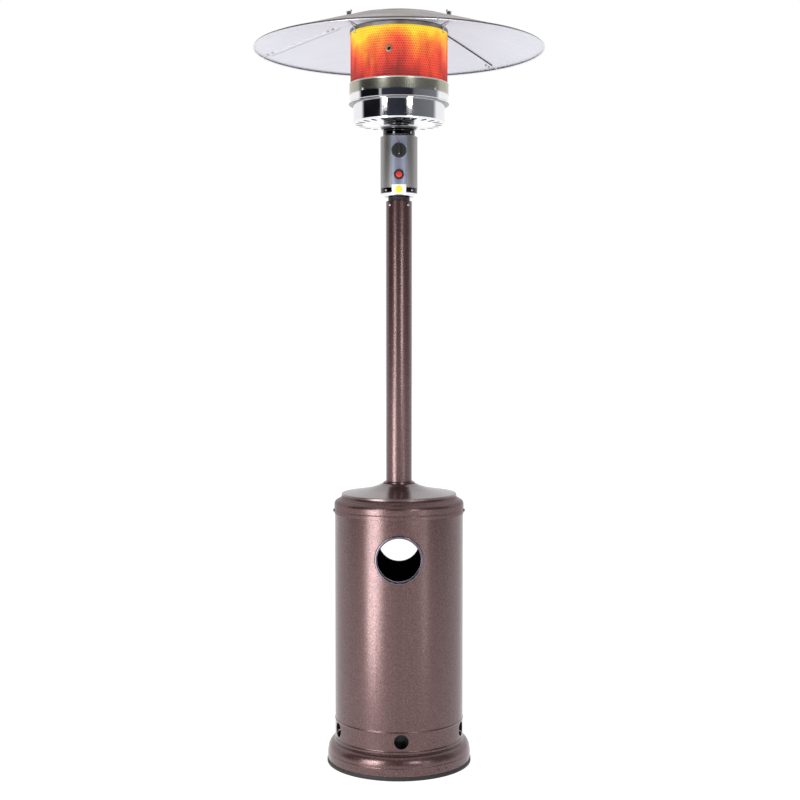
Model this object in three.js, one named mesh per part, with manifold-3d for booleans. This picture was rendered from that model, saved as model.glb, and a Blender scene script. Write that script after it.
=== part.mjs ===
// Propane patio heater with a pole, a sliding cylinder housing and a domed reflector.
// Millimetres, +Z up, origin on the floor at the pole's axis, front towards -Y.
import * as THREE from "three";
import { mergeVertices } from "three/addons/utils/BufferGeometryUtils.js";
import Module from "manifold-3d";

const wasm = await Module();
wasm.setup();

// ---------------------------------------------------------------- driving dimensions
const SHEET = 1.2; // pressed sheet metal
const FIT = 0.4; // gap between pieces that touch
const RUN = 0.7; // radial gap between round pieces that turn or slide on each other

const ROUND_LARGE = 36; // facets round a large, a medium and a small turned piece
const ROUND_MEDIUM = 24;
const ROUND_SMALL = 12;

const BASE_R = 212; // base pan
const BASE_BAND_TOP = 34;
const BASE_SEAT_Z = 69.6;
const BASE_FLOOR_Z = 36;
const TRIM_H = 8; // rubber edge under the base

const HOUSING_R = 190; // cylinder housing
const HOUSING_TOP = 770;
const VENT_R = 21;
const VENT_COUNT = 5;
const VENT_RISE = 36; // vent centre above the housing's lower edge
const VENT_TURN = 272;
const HAND_HOLE_R = 66;
const HAND_HOLE_Z = 628.5;
const HAND_TRIM_W = 8; // face width of the rolled ring round each hand hole

const LID_SKIRT = 28; // how far the lid's skirt reaches down the housing
const LID_LIP_R = 170;
const LID_LIP_Z = 801;
const LID_COLLAR_Z = 832;
const LID_HOLE_R = 68; // where the lid ends and its collar begins
const LID_SCREW_COUNT = 2;

const POLE_R = 38.1;
const POLE_WALL = 1.5;
const POLE_BOTTOM = 730;
const POLE_TOP = 1660;

const LEG_COUNT = 3;
const LEG_R = 172; // inner face of a leg's upright, from the axis
const LEG_W = 28;
const LEG_T = 3;
const LEG_BEND_Z = 640;
const LEG_TAB = 55; // length of the tab bolted to the pole

const TANK_R = 152;
const TANK_H = 445; // floor to the top of the guard collar
const TANK_FOOT_R = 100;
const TANK_WALL = 3;
const TANK_NECK_R = 11; // threaded hole the valve screws into
const COLLAR_R = 100;
const COLLAR_H = 95;
const HANDWHEEL_R = 30;
const HOSE_R = 5.5;
const STRAP_W = 25;

const CONTROL_R = 54.3; // brushed casing of the controls
const CONTROL_H = 150;
const CUP_H = 37; // pole top to the casing's lower edge
const NECK_R = 31.5;
const SOCKET_DEPTH = 60;
const KNOB_R = 21.5;
const KNOB_RISE = 105; // knob centre above the casing's lower edge
const KNOB_TRAVEL = 4;
const BUTTON_R = 9;
const BUTTON_RISE = 36;
const BUTTON_TRAVEL = 5;
const PANEL_W = 47;

const COLLAR_NECK_R = 47; // chrome collar between the casing and the burner bowl
const COLLAR_NECK_H = 21;
const BOWL_R = 134;
const BOWL_CONE_H = 20;
const BOWL_BAND_H = 54;
const SLOT_COUNT = 24;
const RING_R = 145; // upper band of the burner
const RING_H = 59;
const SCREEN_R = 142;
const SCREEN_H = 211;
const SIGHT_HOLE_R = 8;
const BURNER_HEAD_R = 74;

const REFLECTOR_R = 425;
const REFLECTOR_DROP = 56.7; // how far the reflector's rim hangs below the top of the screen
const REFLECTOR_RISE = 89; // rim to the panels' inner edge
const PANEL_INNER_R = 140;
const CROWN_R = 180;
const CROWN_RISE = 27;
const PANEL_COUNT = 3;
const SEAM_TURN = 44;
const SEAM_GAP = 1.2;
const STUD_TURN = 90; // one stud per panel, well clear of its seams
const STUD_R = 3;
const STUD_OUT = 18; // how far a stud cranks out past the emitter

// ---------------------------------------------------------------- levels that follow from them
const HOUSING_BOTTOM = BASE_SEAT_Z + FIT;
const VENT_Z = HOUSING_BOTTOM + VENT_RISE;
const LID_R = HOUSING_R + SHEET + FIT;
const LID_BOTTOM = HOUSING_TOP - LID_SKIRT;
const POLE_BORE = POLE_R - POLE_WALL;
const TANK_Z = BASE_FLOOR_Z + FIT;
const TANK_TOP = TANK_Z + TANK_H;
const CONTROL_Z = POLE_TOP + CUP_H;
const CONTROL_TOP = CONTROL_Z + CONTROL_H;
const KNOB_Z = CONTROL_Z + KNOB_RISE;
const BUTTON_Z = CONTROL_Z + BUTTON_RISE;
const BOWL_Z = CONTROL_TOP + COLLAR_NECK_H;
const BOWL_BAND_Z = BOWL_Z + BOWL_CONE_H;
const RING_Z = BOWL_BAND_Z + BOWL_BAND_H;
const SCREEN_Z = RING_Z + 1.7;
const SCREEN_TOP = SCREEN_Z + SCREEN_H;
const REFLECTOR_RIM_Z = SCREEN_TOP - REFLECTOR_DROP;
const BUSH_R = POLE_R + RUN + 4;

// ---------------------------------------------------------------- materials
const paint = (color, roughness, metalness) =>
  new THREE.MeshStandardMaterial({ color, roughness, metalness });
const bronze = paint(0x5c4340, 0.42, 0.8);
const chrome = paint(0xd8d8dc, 0.08, 1);
const brushed = paint(0xa3a39e, 0.32, 1);
const mirrorAluminium = paint(0xd5d6dd, 0.22, 1);
const zinc = paint(0xb4b6ba, 0.35, 1);
const heatSteel = paint(0x6a6a60, 0.4, 1);
const glowSteel = paint(0xd9482a, 0.6, 0.4);
const brass = paint(0xb8923e, 0.3, 1);
const copper = paint(0xb06a45, 0.3, 1);
const rubber = paint(0x17171a, 0.8, 0);
const blackPlastic = paint(0x1c1c20, 0.45, 0);
const redPlastic = paint(0xc92a2a, 0.35, 0);
const nylon = paint(0x26262a, 0.6, 0);
const panelFilm = paint(0x8b93a8, 0.5, 0.3);
const tankPaint = paint(0xdedfe0, 0.4, 0.1);
const webbing = paint(0x2b2b2e, 0.9, 0);
const ceramic = paint(0xe8e4da, 0.5, 0);

// ---------------------------------------------------------------- shape helpers
const rad = THREE.MathUtils.degToRad;

// A closed three.js geometry as a manifold-3d solid.
function solid(geometry) {
  const bare = geometry.clone();
  bare.deleteAttribute("normal");
  bare.deleteAttribute("uv");
  const merged = mergeVertices(bare, 1e-3);
  const index = merged.index.array;
  const kept = [];
  for (let i = 0; i < index.length; i += 3) {
    const [a, b, c] = [index[i], index[i + 1], index[i + 2]];
    if (a !== b && b !== c && a !== c) kept.push(a, b, c);
  }
  return new wasm.Manifold(
    new wasm.Mesh({
      numProp: 3,
      vertProperties: merged.attributes.position.array,
      triVerts: new Uint32Array(kept),
    }),
  );
}

const asSolid = (shape) => (shape.isBufferGeometry ? solid(shape) : shape);
const cut = (shape, ...tools) =>
  tools.reduce((left, tool) => left.subtract(asSolid(tool)), asSolid(shape));
const join = (...shapes) => shapes.map(asSolid).reduce((a, b) => a.add(b));

function asGeometry(shape) {
  if (shape.isBufferGeometry) return shape;
  const mesh = shape.getMesh();
  const count = mesh.numVert;
  const points = new Float32Array(count * 3);
  for (let i = 0; i < count; i++) {
    points.set(mesh.vertProperties.subarray(i * mesh.numProp, i * mesh.numProp + 3), i * 3);
  }
  const geometry = new THREE.BufferGeometry();
  geometry.setAttribute("position", new THREE.BufferAttribute(points, 3));
  geometry.setIndex(new THREE.BufferAttribute(mesh.triVerts, 1));
  geometry.computeVertexNormals();
  return geometry;
}

// Turns a closed profile of [radius, height] points about +Z.
function turned(profile, facets = ROUND_LARGE) {
  const area = profile.reduce((sum, [r, z], i) => {
    const [nextR, nextZ] = profile[(i + 1) % profile.length];
    return sum + r * nextZ - nextR * z;
  }, 0);
  const ordered = area > 0 ? profile : [...profile].reverse();
  const points = [...ordered, ordered[0]].map(([r, z]) => new THREE.Vector2(r, z));
  return new THREE.LatheGeometry(points, facets).rotateX(Math.PI / 2);
}

// A pressed shell: the outer line of [radius, height] points, given a wall on its inner side.
function pressed(line, wall = SHEET, facets = ROUND_LARGE) {
  const inner = line.map(([r, z], i) => {
    const [r0, z0] = line[Math.max(i - 1, 0)];
    const [r1, z1] = line[Math.min(i + 1, line.length - 1)];
    const before = new THREE.Vector2(r - r0, z - z0).normalize();
    const after = new THREE.Vector2(r1 - r, z1 - z).normalize();
    const along = before.add(after).normalize();
    const square = new THREE.Vector2(r1 - r, z1 - z).normalize();
    const stretch = i && i < line.length - 1 ? 1 / Math.max(0.5, along.dot(square)) : 1;
    return [r - along.y * wall * stretch, z + along.x * wall * stretch];
  });
  return turned([...line, ...inner.reverse()], facets);
}

const tube = (outer, inner, z0, z1, facets = ROUND_LARGE) =>
  turned([[inner, z0], [outer, z0], [outer, z1], [inner, z1]], facets);

const rod = (radius, z0, z1, facets = ROUND_SMALL) =>
  new THREE.CylinderGeometry(radius, radius, z1 - z0, facets)
    .rotateX(Math.PI / 2)
    .translate(0, 0, (z0 + z1) / 2);

const block = (x, y, z, cx = 0, cy = 0, cz = 0) =>
  new THREE.BoxGeometry(x, y, z).translate(cx, cy, cz);

// A shape modelled along +Z, laid so that its +Z points to the front, -Y.
const facingFront = (geometry) => geometry.rotateX(Math.PI / 2);

// A round wire or hose along points given by hand.
function sweep(points, radius, steps, sides = 8) {
  const path = new THREE.CatmullRomCurve3(
    points.map((p) => new THREE.Vector3(...p)),
    false,
    "centripetal",
  );
  const section = new THREE.Shape(
    Array.from({ length: sides }, (_, i) => {
      const turn = (2 * Math.PI * i) / sides;
      return new THREE.Vector2(radius * Math.cos(turn), radius * Math.sin(turn));
    }),
  );
  return new THREE.ExtrudeGeometry(section, { steps, extrudePath: path });
}

// A wedge of the plane between two bearings, as tall as the piece it trims.
function wedge(from, to, reach, z0, z1) {
  const outline = [new THREE.Vector2(0, 0)];
  const parts = 8;
  for (let i = 0; i <= parts; i++) {
    const turn = rad(from + ((to - from) * i) / parts);
    outline.push(new THREE.Vector2(reach * Math.cos(turn), reach * Math.sin(turn)));
  }
  const prism = new THREE.ExtrudeGeometry(new THREE.Shape(outline), {
    depth: z1 - z0,
    bevelEnabled: false,
  });
  return prism.translate(0, 0, z0);
}

function add(group, name, shape, material) {
  const mesh = new THREE.Mesh(asGeometry(shape), material);
  mesh.name = name;
  group.add(mesh);
  return mesh;
}

// ---------------------------------------------------------------- base
function basePan() {
  const shoulder = [];
  const steps = 4;
  for (let i = 0; i <= steps; i++) {
    const turn = rad((90 * i) / steps);
    const reach = BASE_R - HOUSING_R - 4;
    shoulder.push([
      BASE_R - reach + reach * Math.cos(turn),
      BASE_BAND_TOP + (BASE_SEAT_Z - 4 - BASE_BAND_TOP) * Math.sin(turn),
    ]);
  }
  const line = [
    [BASE_R, TRIM_H + FIT],
    ...shoulder,
    [HOUSING_R + 1, BASE_SEAT_Z],
    [HOUSING_R - 8, BASE_SEAT_Z],
    [HOUSING_R - 12, BASE_FLOOR_Z],
    [TANK_FOOT_R + 14, BASE_FLOOR_Z],
    [60, BASE_FLOOR_Z],
    [56, BASE_FLOOR_Z - 6],
    [30, BASE_FLOOR_Z - 6],
  ];
  const wheelHoles = [-56.5, -50].map((turn) =>
    facingFront(rod(3, 0, 30, 12))
      .translate(0, -BASE_R + 15, 24)
      .rotateZ(rad(turn + 90)),
  );
  return cut(pressed(line, SHEET), ...wheelHoles);
}

function baseEdgeTrim() {
  return turned([
    [BASE_R - 5, 0],
    [BASE_R + 2, 0],
    [BASE_R + 2, TRIM_H - 1],
    [BASE_R + 1, TRIM_H + 3],
    [BASE_R + FIT, TRIM_H + 3],
    [BASE_R + FIT, TRIM_H],
    [BASE_R - 5, TRIM_H],
  ]);
}

// One leg in the XZ plane, its foot on the pan's floor and its tab against the pole.
function supportLeg() {
  const floor = BASE_FLOOR_Z + FIT;
  const tabR = POLE_R + FIT;
  const tabZ = POLE_BOTTOM + 6;
  const outline = [
    [LEG_R - 34, floor],
    [LEG_R + LEG_T, floor],
    [LEG_R + LEG_T, LEG_BEND_Z + 2],
    [tabR + LEG_T, tabZ],
    [tabR + LEG_T, tabZ + LEG_TAB],
    [tabR, tabZ + LEG_TAB],
    [tabR, tabZ - 2],
    [LEG_R, LEG_BEND_Z],
    [LEG_R, floor + LEG_T],
    [LEG_R - 34, floor + LEG_T],
  ];
  const strip = new THREE.ExtrudeGeometry(
    new THREE.Shape(outline.map(([x, z]) => new THREE.Vector2(x, z))),
    { depth: LEG_W, bevelEnabled: false },
  );
  return strip.rotateX(Math.PI / 2).translate(0, LEG_W / 2, 0);
}

// ---------------------------------------------------------------- gas cylinder and its line
function gasCylinder() {
  const bottom = TANK_Z + 12;
  const shoulderZ = TANK_TOP - COLLAR_H - 30;
  const line = [[0, bottom]];
  for (const [r, z] of [
    [0.66, 0.06],
    [0.78, 0.12],
    [0.93, 0.35],
    [1, 0.8],
  ]) {
    line.push([TANK_R * r, bottom + 60 * z]);
  }
  for (const turn of [0, 25, 50, 70]) {
    line.push([TANK_R * Math.cos(rad(turn)), shoulderZ + 55 * Math.sin(rad(turn))]);
  }
  line.push([22, shoulderZ + 58], [22, shoulderZ + 66], [TANK_NECK_R, shoulderZ + 66]);
  const foot = tube(TANK_FOOT_R, TANK_FOOT_R - TANK_WALL, TANK_Z, bottom + 5, ROUND_LARGE);
  return join(pressed(line, TANK_WALL), foot);
}

function guardCollar() {
  const foot = TANK_TOP - COLLAR_H + 13;
  const ring = tube(COLLAR_R, COLLAR_R - 3, foot, TANK_TOP, ROUND_MEDIUM);
  const outletGap = wedge(-42, 42, COLLAR_R + 20, foot + 5, TANK_TOP + 1);
  const grips = [110, 250].map((turn) =>
    block(20, 90, 26, COLLAR_R, 0, TANK_TOP - 28).rotateZ(rad(turn)),
  );
  return cut(ring, outletGap, ...grips);
}

const VALVE_Z = TANK_TOP - 48; // axis of the cylinder valve's outlet
function cylinderValve() {
  const shoulderTop = TANK_TOP - COLLAR_H + 36;
  return join(
    rod(13, shoulderTop + FIT, VALVE_Z + 14),
    rod(11, 0, 34).rotateY(Math.PI / 2).translate(0, 0, VALVE_Z),
    rod(7, VALVE_Z + 13, VALVE_Z + 24),
  );
}

function valveHandwheel() {
  const foot = VALVE_Z + 24 + FIT;
  const wheel = cut(
    turned([
      [0, foot],
      [10, foot],
      [HANDWHEEL_R - 2, foot + 3],
      [HANDWHEEL_R, foot + 7],
      [HANDWHEEL_R - 2, foot + 14],
      [0, foot + 14],
    ], 30),
    ...Array.from({ length: 6 }, (_, i) =>
      rod(5.5, foot - 1, foot + 15, 10)
        .translate(HANDWHEEL_R + 2.2, 0, 0)
        .rotateZ(rad(60 * i + 30)),
    ),
  );
  return wheel;
}

const NUT_X = 34 + FIT;
function couplingNut() {
  const nut = rod(16, 0, 26, 12).rotateY(Math.PI / 2).translate(NUT_X, 0, VALVE_Z);
  const bore = rod(8, -1, 27).rotateY(Math.PI / 2).translate(NUT_X, 0, VALVE_Z);
  const flats = Array.from({ length: 6 }, (_, i) =>
    block(20, 3, 3, NUT_X + 12, 0, VALVE_Z + 16.4)
      .translate(0, 0, -VALVE_Z)
      .rotateX(rad(60 * i + 15))
      .translate(0, 0, VALVE_Z),
  );
  return cut(nut, bore, ...flats);
}

const REGULATOR_X = 98;
function regulator() {
  return join(
    rod(7.2, 0, REGULATOR_X - NUT_X - 4).rotateY(Math.PI / 2).translate(NUT_X + 4, 0, VALVE_Z),
    turned([
      [0, -13],
      [24, -13],
      [28, -8],
      [28, 2],
      [22, 8],
      [10, 14],
      [0, 14],
    ], 24)
      .rotateX(Math.PI / 2)
      .translate(REGULATOR_X, 0, VALVE_Z),
    rod(8, 20, 40).translate(REGULATOR_X, 0, VALVE_Z),
  );
}

// From the regulator, up beside the window, and in to the pole's open end.
const HOSE_POINTS = [
  [REGULATOR_X, 0, VALVE_Z + 40 + FIT],
  [REGULATOR_X + 1, 0, VALVE_Z + 75],
  [REGULATOR_X + 4, 1, VALVE_Z + 120],
  [REGULATOR_X + 4, 2, 600],
  [REGULATOR_X - 6, 2, 640],
  [REGULATOR_X - 30, 2, 668],
  [REGULATOR_X - 60, 1, 688],
  [14, 0, 712],
  [1, 0, 750],
  [0, 0, 820],
  [0, 0, 1300],
  [0, 0, KNOB_Z - 34 - FIT],
];
const gasHose = () => sweep(HOSE_POINTS, HOSE_R, 44, 6);

function cylinderStrap() {
  const z = TANK_Z + 190;
  const band = tube(TANK_R + FIT + 2.2, TANK_R + FIT, z, z + STRAP_W);
  const buckle = block(38, 6, STRAP_W + 8, 0, -TANK_R - 4.5, z + STRAP_W / 2);
  return cut(join(band, buckle), rod(TANK_R + FIT, z - 10, z + STRAP_W + 10, ROUND_LARGE));
}

// ---------------------------------------------------------------- housing and lid
const ventBearing = (i) => VENT_TURN + (360 / VENT_COUNT) * i;

function housingShell() {
  const beadZ = HOUSING_BOTTOM + 61;
  const line = [
    [HOUSING_R + 2.4, HOUSING_BOTTOM],
    [HOUSING_R + 2.4, HOUSING_BOTTOM + 5],
    [HOUSING_R, HOUSING_BOTTOM + 9],
    [HOUSING_R, beadZ - 4],
    [HOUSING_R + 1.4, beadZ],
    [HOUSING_R, beadZ + 4],
    [HOUSING_R, HOUSING_TOP],
  ];
  const vents = Array.from({ length: VENT_COUNT }, (_, i) =>
    rod(VENT_R, 0, 30, 20)
      .rotateY(Math.PI / 2)
      .translate(HOUSING_R - 15, 0, VENT_Z)
      .rotateZ(rad(ventBearing(i))),
  );
  const handHoles = rod(HAND_HOLE_R, -HOUSING_R - 20, HOUSING_R + 20, 28)
    .rotateX(Math.PI / 2)
    .translate(0, 0, HAND_HOLE_Z);
  return cut(pressed(line), ...vents, handHoles);
}

// A rolled ring that follows the housing's curve round a hand hole.
function handHoleTrim() {
  const outer = HAND_HOLE_R + 5;
  const facets = 28;
  const points = [];
  const section = (turn, r, lift) => {
    const x = r * Math.cos(turn);
    const reach = HOUSING_R + lift;
    return [x, -Math.sqrt(reach * reach - x * x), HAND_HOLE_Z + r * Math.sin(turn)];
  };
  const profile = [
    [outer, 0.5],
    [outer - 2, 3.6],
    [outer - HAND_TRIM_W, 3],
    [outer - HAND_TRIM_W - 1, -8],
    [HAND_HOLE_R - 2, -8],
    [HAND_HOLE_R - 2, 0.5],
  ];
  for (let i = 0; i < facets; i++) {
    for (const [r, lift] of profile) points.push(...section((2 * Math.PI * i) / facets, r, lift));
  }
  const index = [];
  const count = profile.length;
  for (let i = 0; i < facets; i++) {
    for (let j = 0; j < count; j++) {
      const a = i * count + j;
      const b = i * count + ((j + 1) % count);
      const c = ((i + 1) % facets) * count + j;
      const d = ((i + 1) % facets) * count + ((j + 1) % count);
      index.push(a, c, b, b, c, d);
    }
  }
  const geometry = new THREE.BufferGeometry();
  geometry.setAttribute("position", new THREE.Float32BufferAttribute(points, 3));
  geometry.setIndex(index);
  return geometry;
}

function housingLid() {
  const line = [
    [LID_R, LID_BOTTOM],
    [LID_R, HOUSING_TOP + 1],
    [LID_R - 4, HOUSING_TOP + 9],
    [LID_LIP_R + 6, HOUSING_TOP + 15],
    [LID_LIP_R + 1, HOUSING_TOP + 20],
    [LID_LIP_R, LID_LIP_Z - 1],
    [LID_LIP_R - 4, LID_LIP_Z],
    [148, LID_LIP_Z + 3],
    [83, LID_LIP_Z + 15],
    [LID_HOLE_R, LID_LIP_Z + 20],
  ];
  return pressed(line);
}

// The middle of the lid, which stands round the guide bush.
function lidCollar() {
  return pressed([
    [LID_HOLE_R - FIT, LID_LIP_Z + 20.4],
    [60, LID_COLLAR_Z - 8],
    [BUSH_R + FIT + SHEET, LID_COLLAR_Z - 2],
    [BUSH_R + FIT + SHEET, LID_COLLAR_Z - 14],
  ], SHEET, ROUND_MEDIUM);
}


function lidGuideBush() {
  const foot = LID_COLLAR_Z - 14;
  return turned([
    [POLE_R + RUN, foot],
    [BUSH_R, foot],
    [BUSH_R, LID_COLLAR_Z + FIT],
    [BUSH_R + 3.5, LID_COLLAR_Z + FIT],
    [BUSH_R + 2.5, LID_COLLAR_Z + 3],
    [POLE_R + RUN, LID_COLLAR_Z + 3],
  ], ROUND_MEDIUM);
}

const lidScrew = () =>
  turned([
    [0, 0],
    [5, 0],
    [4.6, 2.2],
    [2.5, 3.4],
    [0, 3.6],
  ], 12)
    .rotateY(Math.PI / 2)
    .translate(LID_R + FIT, 0, LID_BOTTOM + 6.5);

// ---------------------------------------------------------------- pole and the head's lower parts
const pole = () => tube(POLE_R, POLE_BORE, POLE_BOTTOM, POLE_TOP, ROUND_MEDIUM);

function headSocket() {
  const fitR = POLE_BORE - FIT;
  return turned([
    [fitR - 2, -SOCKET_DEPTH],
    [fitR, -SOCKET_DEPTH],
    [fitR, -2],
    [NECK_R, 0],
    [NECK_R, 12],
    [NECK_R - 2, 12],
    [NECK_R - 2, -3],
    [fitR - 2, -5],
  ], ROUND_MEDIUM);
}

function bottomCup() {
  return pressed([
    [NECK_R - 6, 12 + FIT],
    [NECK_R + 6, 12 + FIT],
    [CONTROL_R - 7, 15],
    [CONTROL_R - 2.5, 20],
    [CONTROL_R - 0.5, 28],
    [CONTROL_R, CUP_H - FIT],
  ], SHEET, ROUND_MEDIUM);
}

// ---------------------------------------------------------------- controls
const frontHole = (radius, z) =>
  facingFront(rod(radius, 0, 60, 20)).translate(0, -CONTROL_R + 30, z);

const halfPlane = (side) => block(300, 150, 400, 0, side * (75 - FIT / 2), CONTROL_H / 2);

function controlShell(side) {
  const shell = tube(CONTROL_R, CONTROL_R - SHEET, 0, CONTROL_H, ROUND_MEDIUM);
  const half = cut(shell, halfPlane(-side));
  if (side > 0) return half;
  return cut(half, frontHole(9, KNOB_RISE), frontHole(12.5, BUTTON_RISE));
}

function controlPanel() {
  const inner = CONTROL_R + FIT;
  const skin = tube(inner + 0.8, inner, 3, CONTROL_H - 3, 96);
  const keep = block(PANEL_W, 60, CONTROL_H, 0, -CONTROL_R + 6, CONTROL_H / 2);
  return cut(
    asSolid(skin).intersect(asSolid(keep)),
    frontHole(9, KNOB_RISE),
    frontHole(15.5, BUTTON_RISE),
  );
}

const KNOB_BACK = CONTROL_R + FIT + 0.8 + KNOB_TRAVEL + 1; // knob's rear face from the axis
function controlKnob() {
  const body = turned([
    [4.2, 0],
    [KNOB_R, 0],
    [KNOB_R, 4],
    [KNOB_R - 2, 6],
    [KNOB_R - 2.5, 12],
    [KNOB_R - 4, 13],
    [4.2, 13],
  ], ROUND_MEDIUM);
  const grip = block(9, 2 * KNOB_R - 5, 10, 0, 0, 17);
  const cap = rod(6, 12, 14, ROUND_SMALL);
  return facingFront(asGeometry(join(body, grip, cap))).translate(0, -KNOB_BACK, 0);
}

function valveStem() {
  const shaft = join(rod(3.6, -34, 11.6), rod(6.4, -14, -12, ROUND_SMALL));
  return facingFront(asGeometry(shaft)).translate(0, -KNOB_BACK, 0);
}

const valveThrustWasher = () =>
  facingFront(tube(7.4, 3.6 + FIT, -17.4, -14 - FIT, ROUND_SMALL)).translate(0, -KNOB_BACK, 0);

const VALVE_FACE = KNOB_BACK - 17.4 - KNOB_TRAVEL - 1.2; // front of the gas valve, from the axis
function gasControlValve() {
  const body = block(44, 40, 46, 0, -VALVE_FACE + 22 + 8, 0);
  const nose = facingFront(rod(13, -4, 8, 20)).translate(0, -VALVE_FACE + 8, 0);
  const outlet = rod(8, 20, 30);
  const inlet = rod(9, -34, -20);
  const shaftBore = facingFront(rod(3.6 + FIT, -20, 12)).translate(0, -VALVE_FACE, 0);
  return cut(join(body, nose, outlet, inlet), shaftBore);
}

// The spring-loaded red button and the fixed igniter barrel round it.
const BEZEL_FACE = CONTROL_R + FIT + 0.8 + 6; // igniter's front ring, from the axis
function igniterButton() {
  const button = turned([
    [0, -6],
    [BUTTON_R, -6],
    [BUTTON_R, BUTTON_TRAVEL + 0.5],
    [BUTTON_R - 2, BUTTON_TRAVEL + 2],
    [0, BUTTON_TRAVEL + 2.6],
  ], 24);
  return facingFront(button).translate(0, -BEZEL_FACE, 0);
}

function igniterBody() {
  const barrel = turned([
    [0, -42],
    [11, -42],
    [11, -BEZEL_FACE + CONTROL_R - 2],
    [12, -BEZEL_FACE + CONTROL_R - 2],
    [12, -BEZEL_FACE + CONTROL_R + FIT + 0.8 + FIT],
    [14.5, -BEZEL_FACE + CONTROL_R + FIT + 0.8 + FIT],
    [14.5, -1.5],
    [13, 0],
    [BUTTON_R + FIT, 0],
    [BUTTON_R + FIT, -6 - BUTTON_TRAVEL - 1],
    [0, -6 - BUTTON_TRAVEL - 1],
  ], 24);
  return facingFront(barrel).translate(0, -BEZEL_FACE, 0);
}

function valveBracket() {
  const y = -VALVE_FACE + 8.6;
  const reach = Math.sqrt((CONTROL_R - SHEET - 1) ** 2 - (y - 1) ** 2) - FIT;
  const plate = block(2 * reach, 2, 30, 0, y, 0);
  return cut(plate, facingFront(rod(13 + FIT, -10, 10, 20)).translate(0, y, 0));
}

const injector = () =>
  turned([
    [0, 30 + FIT],
    [7, 30 + FIT],
    [7, 36],
    [3, 42],
    [0, 42],
  ], ROUND_SMALL);

function tiltSwitch() {
  const seat = CONTROL_R - SHEET - FIT;
  const can = rod(12, 0, 24, 20).translate(0, seat - 18, 0);
  return join(can, block(10, 11, 12, 0, seat - 6.5, 12));
}

// ---------------------------------------------------------------- burner
function neckCollar() {
  return pressed([
    [CONTROL_R - SHEET - FIT, FIT],
    [COLLAR_NECK_R + 1, 3],
    [COLLAR_NECK_R, 6],
    [COLLAR_NECK_R, COLLAR_NECK_H - 4],
    [COLLAR_NECK_R - 2, COLLAR_NECK_H - FIT],
  ], SHEET, ROUND_MEDIUM);
}

const BOWL_TOP = BOWL_CONE_H + BOWL_BAND_H; // underside of the bowl's flange, above its foot
function burnerBowl() {
  const bowl = pressed([
    [17, 0],
    [COLLAR_NECK_R + 3, 0],
    [COLLAR_NECK_R + 11, 9],
    [COLLAR_NECK_R + 31, 14],
    [BOWL_R - 4, BOWL_CONE_H - 3],
    [BOWL_R, BOWL_CONE_H + 1],
    [BOWL_R, BOWL_TOP],
    [RING_R - 2, BOWL_TOP],
  ], SHEET);
  const slots = Array.from({ length: SLOT_COUNT }, (_, i) => {
    const slot = block(20, 10, 26, BOWL_R - 17, 0, BOWL_CONE_H - 4);
    return slot.rotateZ((2 * Math.PI * (i + 0.5)) / SLOT_COUNT);
  });
  return cut(bowl, ...slots);
}

// The bright band that hooks under the bowl's flange and hides the screen's foot.
function burnerRing() {
  const hem = -SHEET - FIT;
  return pressed([
    [BOWL_R + FIT, hem],
    [RING_R + 2, hem],
    [RING_R + 2, 3],
    [RING_R, 5],
    [RING_R, RING_H - 1],
    [RING_R - 1, RING_H],
  ], SHEET);
}

function mixingTube() {
  const foot = -30;
  const ledge = SHEET + FIT;
  return turned([
    [11, foot],
    [13, foot],
    [13, -8],
    [16, 0],
    [16, ledge],
    [26, ledge],
    [26, ledge + 2],
    [16, ledge + 2],
    [16, 84],
    [14, 84],
    [14, 4],
    [11, -8],
  ], 20);
}

function burnerHead() {
  const foot = 84 + FIT;
  const drum = turned([
    [12, foot],
    [BURNER_HEAD_R - 4, foot],
    [BURNER_HEAD_R, foot + 4],
    [BURNER_HEAD_R, foot + 34],
    [BURNER_HEAD_R - 8, foot + 44],
    [0, foot + 50],
    [0, foot + 46],
    [BURNER_HEAD_R - 10, foot + 40],
    [BURNER_HEAD_R - 3, foot + 32],
    [BURNER_HEAD_R - 3, foot + 4],
    [12, foot + 3],
  ], ROUND_MEDIUM);
  const ports = Array.from({ length: 16 }, (_, i) =>
    block(20, 4, 18, BURNER_HEAD_R - 2, 0, foot + 19).rotateZ((2 * Math.PI * (i + 0.5)) / 16),
  );
  return cut(drum, ...ports);
}

function emitterScreen() {
  const sleeve = tube(SCREEN_R, SCREEN_R - SHEET, 0, SCREEN_H);
  const sight = facingFront(rod(SIGHT_HOLE_R, 0, 40, 16)).translate(-29, -SCREEN_R + 20, 135);
  return cut(sleeve, sight);
}

function emitterCap() {
  return turned([
    [SCREEN_R + FIT, -10],
    [SCREEN_R + FIT + 1.4, -10],
    [SCREEN_R + FIT + 1.4, 1],
    [SCREEN_R - 2, 5],
    [60, 9],
    [0, 10],
    [0, 8.6],
    [60, 7.6],
    [SCREEN_R - 4, 3.4],
    [SCREEN_R - 2, FIT],
    [SCREEN_R + FIT, FIT],
  ]);
}

// Pilot parts stand on a small shelf laid on the bowl's flange, behind the screen.
const SHELF_Z = BOWL_TOP + SHEET + FIT;
const shelfTop = SHELF_Z + 2;
const pilotShelf = () => block(46, 36, 2, -16, -SCREEN_R + 27, SHELF_Z + 1);

const pilotRod = (x, radius, height) =>
  rod(radius, shelfTop + FIT, shelfTop + height, 10).translate(x, -SCREEN_R + 18, 0);

function pilotBurner() {
  const hood = block(14, 8, 16, -29, -SCREEN_R + 18, shelfTop + 52);
  return join(pilotRod(-29, 3.5, 46), hood);
}

// ---------------------------------------------------------------- reflector
const studBearing = (i) => rad(STUD_TURN + (360 / PANEL_COUNT) * i);
const STUD_TOP_R = SCREEN_R + STUD_OUT + 5; // where a stud passes up through panel and crown

const studHoles = () =>
  Array.from({ length: PANEL_COUNT }, (_, i) =>
    rod(STUD_R + FIT, 0, 200, 12).translate(STUD_TOP_R, 0, 0).rotateZ(studBearing(i)),
  );

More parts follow.
